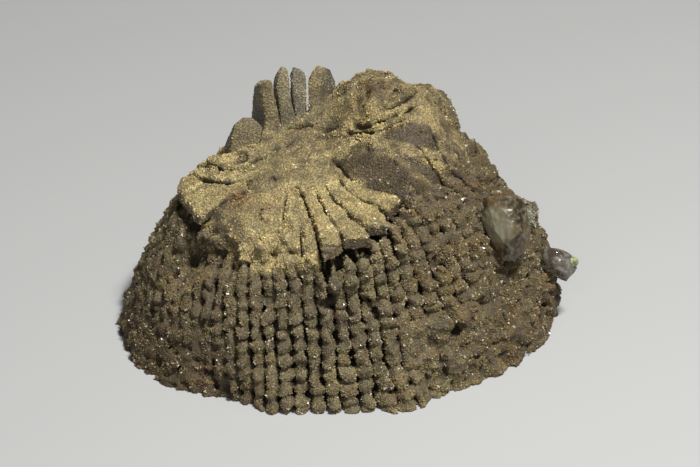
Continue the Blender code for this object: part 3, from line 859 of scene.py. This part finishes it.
def surface_net(grid, low):
    """Points and quads of the surface where the grid changes sign."""
    inside = grid < 0
    sizes = [count - 1 for count in grid.shape]
    count = np.zeros(sizes, np.int8)
    corners = list(itertools.product((0, 1), repeat=3))
    for a, b, c in corners:
        count += inside[a : a + sizes[0], b : b + sizes[1], c : c + sizes[2]]
    cells = np.nonzero((count > 0) & (count < 8))
    cell_index = np.full(sizes, -1, np.int32)
    cell_index[cells] = np.arange(len(cells[0]))
    total = np.zeros((len(cells[0]), 3), np.float32)
    crossings = np.zeros(len(cells[0]), np.float32)
    values = {c: grid[cells[0] + c[0], cells[1] + c[1], cells[2] + c[2]] for c in corners}
    for axis in range(3):
        for corner in corners:
            if corner[axis]:
                continue
            other = tuple(1 if k == axis else corner[k] for k in range(3))
            first, last = values[corner], values[other]
            crossed = (first < 0) != (last < 0)
            share = np.where(crossed, first / np.where(crossed, first - last, 1), 0)
            for k in range(3):
                total[:, k] += np.where(crossed, corner[k] + (share if k == axis else 0), 0)
            crossings += crossed
    points = np.stack(cells, 1) + total / crossings[:, None]
    quads = []
    for axis in range(3):
        u, v = (axis + 1) % 3, (axis + 2) % 3
        span = [slice(1, size) for size in sizes]
        span[axis] = slice(0, sizes[axis])
        ahead = list(span)
        ahead[axis] = slice(1, sizes[axis] + 1)
        first, last = inside[tuple(span)], inside[tuple(ahead)]
        where = np.nonzero(first != last)
        place = [where[k] + (0 if k == axis else 1) for k in range(3)]
        ring = []
        for du, dv in ((0, 0), (1, 0), (1, 1), (0, 1)):
            spot = list(place)
            spot[u] = place[u] - 1 + du
            spot[v] = place[v] - 1 + dv
            ring.append(cell_index[tuple(spot)])
        quad = np.stack(ring, 1)
        flip = ~first[where]
        quad[flip] = quad[flip][:, ::-1]
        quads.append(quad)
    return low + points * VOXEL, np.concatenate(quads)


def mesh_of(name, points, faces):
    """A mesh from arrays of points, in millimetres round the axis, and of faces of one size."""
    mesh = bpy.data.meshes.new(name)
    sides = faces.shape[1]
    mesh.vertices.add(len(points))
    mesh.vertices.foreach_set("co", ((points + FOOT) * MM).astype(np.float32).ravel())
    mesh.loops.add(faces.size)
    mesh.loops.foreach_set("vertex_index", faces.astype(np.int32).ravel())
    mesh.polygons.add(len(faces))
    mesh.polygons.foreach_set("loop_start", np.arange(0, faces.size, sides, dtype=np.int32))
    mesh.update(calc_edges=True)
    return mesh


def largest_body(points, faces):
    """The points and faces of the largest connected body."""
    label = np.arange(len(points))
    ends = np.concatenate([faces[:, [k, (k + 1) % faces.shape[1]]] for k in range(faces.shape[1])])
    while True:
        least = np.minimum(label[ends[:, 0]], label[ends[:, 1]])
        following = label.copy()
        np.minimum.at(following, ends[:, 0], least)
        np.minimum.at(following, ends[:, 1], least)
        following = following[following]
        if (following == label).all():
            break
        label = following
    kept = label == np.bincount(label).argmax()
    renumber = np.cumsum(kept) - 1
    return points[kept], renumber[faces[kept[faces[:, 0]]]]


def add_object(name, data):
    obj = bpy.data.objects.new(name, data)
    bpy.context.scene.collection.objects.link(obj)
    return obj


def fine_places(points):
    """Which points lie in the narrow grooves, or at the edges of the slabs, of the calice."""
    x, y, z = (points[:, k].astype(np.float32) for k in range(3))
    at_slab = (np.abs(slab_edges.at(x, y) - 0.1) < 0.3) & (z > slab_tops.at(x, y) - 1.5)
    return (z > SLABS_ABOVE) & (at_slab | (groove_at(x, y, z) > 0.02))


def decimated(obj, triangles, most):
    """Collapses edges until the mesh has at most this many triangles, in the fine places last of
    all, and keeps the result."""
    fine = fine_places(points_of(obj.data)[0])
    coarse = obj.vertex_groups.new(name="coarse")
    coarse.add(np.flatnonzero(~fine).tolist(), 1.0, "REPLACE")
    modifier = obj.modifiers.new("decimate", "DECIMATE")
    modifier.vertex_group = coarse.name
    modifier.ratio = min(1.0, most / triangles)
    graph = bpy.context.evaluated_depsgraph_get()
    mesh = bpy.data.meshes.new_from_object(obj.evaluated_get(graph))
    obj.modifiers.clear()
    obj.vertex_groups.clear()
    obj.data = mesh


def stone_marks(points, normals):
    """How far each point is ochre, rusty, grey or pale, in a dark flank, pit or pore, or shaded."""
    x, y, z = (points[:, k].astype(np.float32) for k in range(3))
    plain, azimuth, radius = hull(x, y, z)
    run = past_rim(azimuth, radius, z)[0]
    end = ridge_end(septum_place(azimuth, radius, z))
    broad = value_noise(x, y, z, 4.5, 51)
    middle = value_noise(x, y, z, 1.8, 52)
    calice = smooth_step(0.6, -0.4, run - end)
    # How far a face looks up: it adds ochre below, which is painted light from above.
    upward = smooth_step(0.45, 0.92, normals[:, 2])
    boss = patch(x, y, z, "boss")
    centre = patch(x, y, z, "centre")
    nub = patch(z, y, x, "nub")

    # The ridges, the ledge beside them and the bands that climb to the knob are the brightest.
    ridges = sector(azimuth, "ochre ridges") * smooth_step(5.0, 9.0, radius)
    ridges = ridges * smooth_step(1.5, 0.5, run - end)
    edge, height = slab_edges.at(x, y), slab_tops.at(x, y)
    on_slab = (edge < 0.1) & (z > height - 0.4)
    ledge = sector(azimuth, "ochre ledge") * smooth_step(8.0, 12.0, radius) * (run < end + 0.4)
    front = np.maximum(np.maximum(ridges * upward, on_slab), 1.2 * ledge * (0.5 + 0.5 * upward))
    high = z > BANDS_ABOVE
    # The bright band and its lip get extra ochre below: painted light on the lit tops of the steps.
    lip = smooth_step(0.15, -0.15, lips.at(x, y + 0.7)) * high
    lens = smooth_step(0.12, -0.12, lenses.at(x, y + 0.4)) * high
    band = np.maximum(smooth_step(0.15, -0.15, bands.at(x, y)) * high, lip) * (1 - lens)
    right_wall = sector(azimuth, "pored right") * (1 - calice)
    ochre = 0.06 + calice * (0.29 + 0.10 * upward) + 0.12 * upward + 0.18 * broad + 0.14 * middle
    ochre = ochre + 0.60 * front + 0.70 * band + 0.30 * patch(x, y, z, "knob foot")
    ochre = np.clip(ochre + 0.35 * centre - 0.12 * boss, 0, 1)
    ochre = np.clip(ochre + 0.10 * right_wall, 0, 1)
    rust = np.clip(0.45 * boss + 0.9 * value_noise(x, y, z, 3.1, 53) - 0.35 + 0.3 * middle, 0, 1)

    # Steep flanks are dark brown, partly painted shade; the gaps under the front ridges' ends are
    # painted shade.
    flank = smooth_step(0.15, -0.15, flanks.at(x, y)) * (upward < 0.97) * (1 - lip) * (1 - centre)
    under = height - z
    ridge_gap_shade = (np.abs(edge) < 0.6) & (under > 0.35) & (under < 2.6) & (x > 0.5) & (upward < 0.5)
    flank = np.maximum(np.maximum(flank, lens), ridge_gap_shade)
    # Pits and grooves are darkened: painted shade in the recesses, with dirt.
    in_groove = smooth_step(0.3, 0.7, groove_at(x, y, z))
    depth = np.maximum(smooth_step(-0.40, -1.25, plain), 0.85 * in_groove)

    grey = np.zeros_like(x)
    for blade in BLADES:
        away, before = blade_field(x, y, z, blade)
        share = np.where(before < -0.45, 0.9, blade[0][5] + 0.25 * middle)
        grey = np.where((away < 0.3) & (plain > 0.4), share, grey)

    pore = value_noise(x, y, z, 0.75, 54) + 0.25 * value_noise(x, y, z, 2.0, 55)
    pore = smooth_step(0.05, 0.55, pore)
    pore = pore * (0.45 + 0.35 * right_wall + 0.55 * calice * ~on_slab) * (1 - 0.85 * ledge)
    top_pore = smooth_step(0.0, 0.4, value_noise(x, y, z, 0.8, 57))
    pore = np.maximum(pore, patch(x, y, z, "knob top") * top_pore)

    right = sector(azimuth, "shaded right") * smooth_step(9.0, 13.0, radius) * (1 - 0.6 * calice)
    top = patch(x, y, z, "knob shade")
    low = smooth_step(16.0, 11.0, z) + 1.2 * smooth_step(8.0, 3.0, z)
    left = sector(azimuth, "shaded left") * low
    shade = np.clip(0.75 * right + 0.55 * top + 0.55 * left + 0.4 * middle * (right + top), 0, 1)
    return {
        "shade": shade * (1 - nub),
        "ochre": ochre,
        "pit": depth,
        "rust": rust * (1 - nub),
        "grey": np.clip(grey, 0, 1),
        "pore": pore * (1 - 0.6 * nub),
        "flank": flank,
        "pale": nub,
    }


def set_marks(mesh, marks):
    for name, values in marks.items():
        mark = mesh.attributes.new(name, "FLOAT", "POINT")
        mark.data.foreach_set("value", values.astype(np.float32))


def points_of(mesh):
    """A mesh's points in millimetres round the axis, and their normals."""
    points = np.empty(len(mesh.vertices) * 3, np.float32)
    normals = np.empty(len(mesh.vertices) * 3, np.float32)
    mesh.vertices.foreach_get("co", points)
    mesh.vertices.foreach_get("normal", normals)
    return points.reshape(-1, 3) / MM - FOOT, normals.reshape(-1, 3)


def triangles_of(mesh):
    mesh.calc_loop_triangles()
    corners = np.empty(len(mesh.loop_triangles) * 3, np.int32)
    mesh.loop_triangles.foreach_get("vertices", corners)
    return corners.reshape(-1, 3)


def roughen(mesh):
    """Moves each point a little in or out, but for the flat underside, and keeps creases sharp."""
    points, normals = points_of(mesh)
    push = np.random.default_rng(41).uniform(-ROUGHNESS, ROUGHNESS, len(points))
    push = np.where(points[:, 2] > 0.1, push, 0)
    points = points + normals * push[:, None]
    mesh.vertices.foreach_set("co", ((points + FOOT) * MM).astype(np.float32).ravel())
    mesh.shade_smooth()
    mesh.set_sharp_from_angle(angle=CREASE)


def make_coral():
    """The whole skeleton as one closed mesh."""
    grid, low = field_grid()
    points, quads = largest_body(*surface_net(grid, low))
    coral = add_object("coral", mesh_of("coral", points, quads))
    decimated(coral, 2 * len(quads), MOST_TRIANGLES)
    roughen(coral.data)
    set_marks(coral.data, stone_marks(*points_of(coral.data)))
    coral.data.materials.append(stone_paint("coral_stone", False))
    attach(coral, "root")
    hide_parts("coral_skeleton")
    return coral


def arrays_of(bm):
    """The points and faces of a block being cut, which is then let go."""
    points = np.array([point.co for point in bm.verts])
    faces = np.array([[point.index for point in face.verts] for face in bm.faces])
    bm.free()
    return points, faces


def crystal_mesh(name, planes, pale, reach):
    """A block cut to a crystal's faces, divided finely, with chipped edges, and marks for its
    paint: nearness to an edge, and to its pale part."""
    bm = bmesh.new()
    bmesh.ops.create_cube(bm, size=80)
    for normal, distance in planes:
        cut = {"dist": 1e-5, "plane_co": normal * distance, "plane_no": normal, "clear_outer": True}
        bmesh.ops.bisect_plane(bm, geom=[*bm.verts, *bm.edges, *bm.faces], **cut)
        bmesh.ops.holes_fill(bm, edges=[edge for edge in bm.edges if edge.is_boundary])
    bmesh.ops.remove_doubles(bm, verts=bm.verts, dist=0.01)
    bmesh.ops.triangulate(bm, faces=bm.faces)
    for longest in (2.0, 2.0, 1.0, 1.0, 0.5, 0.5, 0.25, 0.25):
        long = [edge for edge in bm.edges if edge.calc_length() > longest]
        bmesh.ops.subdivide_edges(bm, edges=long, cuts=1)
        bmesh.ops.triangulate(bm, faces=bm.faces)
    bmesh.ops.recalc_face_normals(bm, faces=bm.faces)
    points, faces = arrays_of(bm)
    away = np.abs([points @ normal - distance for normal, distance in planes])
    edge = np.exp(-((np.sort(away, axis=0)[1] / EDGE_REACH) ** 2))
    tone = np.exp(-((np.linalg.norm(points - pale, axis=1) / reach) ** 4))
    tone = tone + 0.2 * value_noise(*points.T, 1.6, 64)
    chips = np.maximum(value_noise(*points.T, 0.6, 63), 0) * CHIP_DEPTH * edge
    inward = points.mean(0) - points
    points = points + inward * (chips / np.linalg.norm(inward, axis=1))[:, None]
    mesh = mesh_of(name, points, faces)
    set_marks(mesh, {"edge": edge, "tone": tone})
    mesh.shade_flat()
    return mesh


def make_crystals():
    """The large milky brown crystal and the small clear one, with the lump grown on its tip."""
    large = add_object("large_crystal", crystal_mesh("large_crystal", large_planes, *LARGE_PALE))
    large.data.materials.append(smoky_paint())
    small = add_object("small_crystal", crystal_mesh("small_crystal", small_planes, *SMALL_PALE))
    small.data.materials.append(clear_paint())
    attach(large, "root")
    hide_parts("quartz_crystal_large")
    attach(small, "root")
    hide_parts("quartz_crystal_small")

    middle, radius = TIP_GROWTH
    bm = bmesh.new()
    bmesh.ops.create_icosphere(bm, subdivisions=4, radius=radius)
    points, faces = arrays_of(bm)
    spots = points.T + 9
    swell = 0.86 + 0.22 * value_noise(*spots, 0.55, 61) + 0.10 * value_noise(*spots, 0.25, 62)
    points = points * swell[:, None] * TIP_STRETCH + middle
    lump = add_object("tip_lump", mesh_of("tip_lump", points, faces))
    lump.data.shade_flat()
    lump.data.materials.append(lump_paint())
    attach(lump, "root")


def make_grains(coral):
    """Sugary quartz grains: small pyramids half sunk in the surface, in joined meshes."""
    points = points_of(coral.data)[0]
    triangles = triangles_of(coral.data)
    a, b, c = (points[triangles[:, k]] for k in range(3))
    cross = np.cross(b - a, c - a)
    area = np.linalg.norm(cross, axis=1) / 2
    facing = cross / np.maximum(2 * area, 1e-9)[:, None]
    middle = (a + b + c) / 3
    exposed = (middle[:, 2] > 0.15) & (area > 0)
    azimuth = axis_frame(*middle.T)[0]
    upper = middle[:, 2] > RIM_GRAINS
    side = apart(azimuth, 270)
    left, seam, right = GRAIN_SIDES
    paint = stone_paint("grain_stone", True)
    for name, region in (
        ("grains_calice", upper),
        ("grains_front_left", ~upper & (side > left) & (side <= seam)),
        ("grains_front_right", ~upper & (side > seam) & (side < right)),
        ("grains_back", ~upper & ((side <= left) | (side >= right))),
    ):
        random = np.random.default_rng(len(name))
        clump = smooth_step(0.35, -0.25, value_noise(*middle.T, *GRAIN_CLUMPS))
        in_groove = groove_at(*middle.T) > 0.2
        weight = np.where(region & exposed & ~in_groove, area * (0.6 + clump), 0)
        count = GRAINS
        chosen = random.choice(len(area), count, p=weight / weight.sum())
        u, v = random.random((2, count))
        u, v = np.where(u + v > 1, (1 - u, 1 - v), (u, v))
        spots = a[chosen] + u[:, None] * (b - a)[chosen] + v[:, None] * (c - a)[chosen]
        coarse = value_noise(*spots.T, 2.2, 56)
        growth = np.exp(0.28 * random.standard_normal(count) + 0.25 * coarse)
        marks = stone_marks(spots, facing[chosen])
        radius = GRAIN_RADIUS * growth.clip(0.6, 1.9) * (1 - 0.35 * (marks["grey"] > 0))
        raised = radius * random.uniform(-0.30, 0.10, count)
        raised = raised - 0.08 * value_noise(*spots.T, *GRAIN_CLUMPS)
        spots = spots + facing[chosen] * raised[:, None]
        spots[:, 2] = np.maximum(spots[:, 2], 1.2 * radius)
        corners = grain_corners(facing[chosen], radius, random)
        corners = (spots[:, None] + corners).reshape(-1, 3)
        faces = np.array([(0, 1, 3), (1, 2, 3), (2, 0, 3), (2, 1, 0)])
        faces = (faces + 4 * np.arange(count)[:, None, None]).reshape(-1, 3)
        grains = add_object(name, mesh_of(name, corners, faces))
        marks["tone"] = random.random(count)
        grains.data.shade_flat()
        set_marks(grains.data, {key: np.repeat(values, 4) for key, values in marks.items()})
        lay_out_grains(grains.data, count)
        grains.data.materials.append(paint)
        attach(grains, "root")


def grain_corners(facing, radius, random):
    """Corners of grains round their middles: three at the foot, and a peak that leans at random."""
    count = len(radius)
    aside = np.cross(facing, random.standard_normal((count, 3)))
    aside /= np.linalg.norm(aside, axis=1)[:, None]
    across = np.cross(facing, aside)
    turns = TAU / 3 * (np.arange(3) + random.uniform(-0.22, 0.22, (count, 3)))
    reach = random.uniform(0.75, 1.25, (count, 3))
    ahead = aside[:, None] * (np.cos(turns) * reach)[:, :, None]
    foot = ahead + across[:, None] * (np.sin(turns) * reach)[:, :, None] - 0.45 * facing[:, None]
    lean = random.uniform(-0.55, 0.55, (count, 2))
    peak = facing * random.uniform(0.35, 0.95, count)[:, None]
    peak = peak + aside * lean[:, :1] + across * lean[:, 1:]
    return np.concatenate([foot, peak[:, None]], 1) * radius[:, None, None]


def lay_out_grains(mesh, count):
    """Gives each grain a cell of its own in a UV layout for a map of its colours."""
    across = math.ceil(math.sqrt(count))
    cells = np.stack([np.arange(count) % across, np.arange(count) // across], 1)
    triangle = np.array([(0.15, 0.15), (0.85, 0.15), (0.5, 0.85)])
    places = (cells[:, None, None] + triangle[None, None]) / across
    places = np.broadcast_to(places, (count, 4, 3, 2))
    layer = mesh.uv_layers.new(name="OFBake")
    layer.data.foreach_set("uv", np.ascontiguousarray(places, np.float32).ravel())


class Paint:
    """A material's nodes, added one by one."""

    def __init__(self, name):
        self.material = bpy.data.materials.new(name)
        self.material.use_nodes = True
        self.nodes = self.material.node_tree.nodes
        self.links = self.material.node_tree.links
        self.shader = self.nodes["Principled BSDF"]

    def feed(self, node, values):
        """Sets a node's inputs, or links them."""
        for name, value in values.items():
            if isinstance(value, bpy.types.NodeSocket):
                self.links.new(value, node.inputs[name])
            else:
                node.inputs[name].default_value = value
        return node

    def add(self, kind, values):
        return self.feed(self.nodes.new(kind), values)

    def mark(self, name):
        node = self.nodes.new("ShaderNodeAttribute")
        node.attribute_name = name
        return node.outputs["Fac"]

    def texture(self, kind, size, values):
        """A texture whose lumps or cells are about one size apart, in millimetres."""
        place = self.nodes.new("ShaderNodeTexCoord").outputs["Object"]
        return self.add(kind, {"Scale": 1 / (size * MM), "Vector": place, **values}).outputs

    def noise(self, size, detail=2.0):
        return self.texture("ShaderNodeTexNoise", size, {"Detail": detail})["Fac"]

    def cells(self, size, output="Distance"):
        return self.texture("ShaderNodeTexVoronoi", size, {})[output]

    def spread(self, value, low, high, out_low=0.0, out_high=1.0):
        ends = {"From Min": low, "From Max": high, "To Min": out_low, "To Max": out_high}
        return self.add("ShaderNodeMapRange", {"Value": value, **ends}).outputs["Result"]

    def maths(self, operation, first, second):
        node = self.add("ShaderNodeMath", {0: first, 1: second})
        node.operation = operation
        return node.outputs[0]

    def mix(self, share, first, second, blend="MIX"):
        node = self.nodes.new("ShaderNodeMix")
        node.data_type = "RGBA"
        node.blend_type = blend
        colours = [c if isinstance(c, bpy.types.NodeSocket) else (*c, 1) for c in (first, second)]
        return self.feed(node, {"Factor": share, 6: colours[0], 7: colours[1]}).outputs[2]

    def cover(self, colour, mark, share, tint):
        """Lays a tint over the colour, by a mark and a share of it."""
        return self.mix(self.maths("MULTIPLY", self.mark(mark), share), colour, tint)

    def multiply(self, colour, tint):
        return self.mix(1.0, colour, tint, "MULTIPLY")

    def absorb(self, colour, density):
        """Tints the light that goes through, by its way inside in metres."""
        values = {"Color": (*colour, 1), "Density": density}
        volume = self.add("ShaderNodeVolumeAbsorption", values).outputs["Volume"]
        self.feed(self.nodes["Material Output"], {"Volume": volume})

    def bump(self, height, strength, distance):
        values = {"Strength": strength, "Distance": distance * MM, "Height": height}
        self.feed(self.shader, {"Normal": self.add("ShaderNodeBump", values).outputs["Normal"]})


BLACK = (0, 0, 0)
WHITE = (1, 1, 1)
OCHRE = (0.63, 0.495, 0.215)
BROWN = (0.199, 0.151, 0.074)
OLIVE = (0.30, 0.285, 0.12)
DIRT_AND_SHADE = (0.042, 0.030, 0.018)
RUST = (0.33, 0.215, 0.09)
GREY = (0.31, 0.285, 0.205)
FLANK = (0.135, 0.098, 0.046)
PALE = (0.44, 0.43, 0.33)
CLEAR = (0.74, 0.70, 0.56)
SHADE = (0.60, 0.52, 0.42)
SPECKLE = 0.24  # millimetres, of the stone between the grains


def stone_paint(name, grains):
    """Quartz-grained stone: ochre on top, brown on the wall, dark in the pits with painted shade
    and dirt, with rusty spots.
    """
    paint = Paint(name)
    speckle = paint.mark("tone") if grains else paint.cells(SPECKLE, "Color")
    colour = paint.mix(paint.mark("ochre"), BROWN, OCHRE)
    colour = paint.mix(paint.spread(paint.noise(1.1, 3.0), 0.50, 0.68, 0.0, 0.55), colour, OLIVE)
    colour = paint.mix(paint.mark("rust"), colour, RUST)
    # Dark brown flanks, partly painted shade, and painted shade in the gaps under the ridge ends.
    colour = paint.cover(colour, "flank", 0.88, FLANK)
    colour = paint.cover(colour, "grey", 0.8, GREY)
    colour = paint.cover(colour, "pale", 0.85, PALE)
    blotch = paint.spread(paint.noise(1.6, 4.0), 0.3, 0.7, 0.72, 1.22)
    grain_shade = paint.spread(speckle, 0.0, 1.0, 0.54, 1.44 if grains else 1.0)
    for share in (blotch, grain_shade):
        colour = paint.multiply(colour, paint.mix(share, BLACK, WHITE))
    colour = paint.multiply(colour, paint.mix(paint.mark("shade"), WHITE, SHADE))
    if grains:
        colour = paint.mix(paint.spread(speckle, 0.90, 0.98, 0.0, 0.7), colour, CLEAR)
    else:
        gap = paint.spread(paint.cells(SPECKLE), 0.25, 0.60, 0.0, 0.65)
        colour = paint.mix(gap, colour, DIRT_AND_SHADE)
        paint.bump(paint.maths("SUBTRACT", 1.0, paint.cells(SPECKLE)), 0.8, 0.12)
    colour = paint.cover(colour, "pore", 0.62, DIRT_AND_SHADE)
    # Painted shade, with dirt, in the pits and grooves.
    colour = paint.cover(colour, "pit", 0.92, DIRT_AND_SHADE)
    rough = paint.spread(speckle, 0.0, 1.0, 0.75, 0.25 if grains else 0.6)
    paint.feed(paint.shader, {"Base Color": colour, "Roughness": rough})
    return paint.material


def quartz(paint, colour, rough, clearness):
    """Feeds the colour and roughness of see-through quartz."""
    values = {"Transmission Weight": clearness, "IOR": QUARTZ_IOR}
    paint.feed(paint.shader, {"Base Color": colour, "Roughness": rough, **values})


def smoky_paint():
    """Smoky quartz: greenish beige and milky on some faces, brown and amber on others."""
    paint = Paint("smoky_quartz_paint")
    cloud = paint.noise(0.6, 3.0)
    amber = paint.spread(paint.noise(1.8, 1.0), 0.40, 0.62)
    colour = paint.mix(amber, (0.055, 0.036, 0.014), (0.16, 0.10, 0.03))
    colour = paint.mix(paint.spread(paint.mark("tone"), 0.15, 0.9), colour, (0.34, 0.31, 0.19))
    colour = paint.mix(paint.spread(cloud, 0.52, 0.72, 0.0, 0.10), colour, (0.46, 0.43, 0.30))
    edge = paint.spread(cloud, 0.45, 0.65, 0.0, 0.4)
    colour = paint.cover(colour, "edge", edge, (0.50, 0.46, 0.33))
    quartz(paint, colour, paint.spread(cloud, 0.3, 0.7, 0.30, 0.45), 0.5)
    paint.bump(paint.noise(0.5, 2.0), 0.15, 0.10)
    paint.absorb((0.70, 0.52, 0.26), 300.0)
    return paint.material


def clear_paint():
    """Clear quartz with faint grey veils."""
    paint = Paint("clear_quartz_paint")
    veil = paint.noise(0.9, 3.0)
    tone = paint.maths("MULTIPLY", paint.mark("tone"), paint.spread(veil, 0.35, 0.6, 0.6, 1.0))
    colour = paint.mix(tone, (0.13, 0.10, 0.07), (0.29, 0.27, 0.22))
    edge = paint.spread(veil, 0.45, 0.65, 0.0, 0.6)
    colour = paint.cover(colour, "edge", edge, (0.75, 0.74, 0.68))
    quartz(paint, colour, paint.spread(veil, 0.35, 0.7, 0.05, 0.25), 0.65)
    paint.bump(paint.noise(0.30, 3.0), 0.15, 0.08)
    paint.absorb((0.72, 0.66, 0.56), 260.0)
    return paint.material


def lump_paint():
    """Yellow-green crust on the small crystal's tip, pale on its crests."""
    paint = Paint("lump_paint")
    colour = paint.spread(paint.noise(0.5, 3.0), 0.35, 0.65)
    colour = paint.mix(colour, (0.14, 0.16, 0.06), (0.34, 0.38, 0.17))
    crest = paint.spread(paint.cells(0.18, "Color"), 0.75, 1.0, 0.0, 0.5)
    colour = paint.mix(crest, colour, (0.72, 0.74, 0.55))
    paint.feed(paint.shader, {"Base Color": colour, "Roughness": 0.4})
    paint.bump(paint.noise(0.15, 2.0), 0.6, 0.1)
    return paint.material


def make_studio():
    """A pale floor, soft light from above, and the camera at the photograph's angle."""
    bpy.ops.mesh.primitive_plane_add(size=FLOOR_SIZE, location=(0, 0, 0))
    floor = bpy.context.object
    floor.name = "floor"
    paint = Paint("floor_paint")
    paint.feed(paint.shader, {"Base Color": FLOOR_COLOUR, "Roughness": 0.9})
    floor.data.materials.append(paint.material)

    world = bpy.data.worlds.new("studio")
    world.use_nodes = True
    sky = world.node_tree.nodes["Background"].inputs
    sky["Color"].default_value = SKY_COLOUR
    sky["Strength"].default_value = SKY_STRENGTH
    bpy.context.scene.world = world
    bpy.context.scene.view_settings.view_transform = "Standard"

    for name, place, size, power in LIGHTS:
        light = bpy.data.lights.new(name, "AREA")
        light.size = size
        light.energy = power
        away = Vector(place) - Vector(LIT_POINT)
        set_up(add_object(name, light), place, away)

    camera = add_object("camera", bpy.data.cameras.new("camera"))
    away = Vector((0, -math.cos(VIEW_ELEVATION), math.sin(VIEW_ELEVATION)))
    set_up(camera, Vector(FOOT * MM) + away * VIEW_DISTANCE, away)
    camera.data.sensor_width = SENSOR_WIDTH
    camera.data.lens = SENSOR_WIDTH * VIEW_DISTANCE / (IMAGE_SIZE[0] * PIXEL * MM)
    camera.data.shift_x = (IMAGE_SIZE[0] / 2 - FOOT_PIXEL[0]) / IMAGE_SIZE[0]
    camera.data.shift_y = (FOOT_PIXEL[1] - IMAGE_SIZE[1] / 2) / IMAGE_SIZE[0]
    camera.data.clip_start = 0.01
    bpy.context.scene.camera = camera


def set_up(obj, place, away):
    """Puts a light or the camera in its place, with its back to a direction."""
    obj.location = place
    obj.rotation_euler = away.to_track_quat("Z", "Y").to_euler()


make_studio()
make_grains(make_coral())
make_crystals()
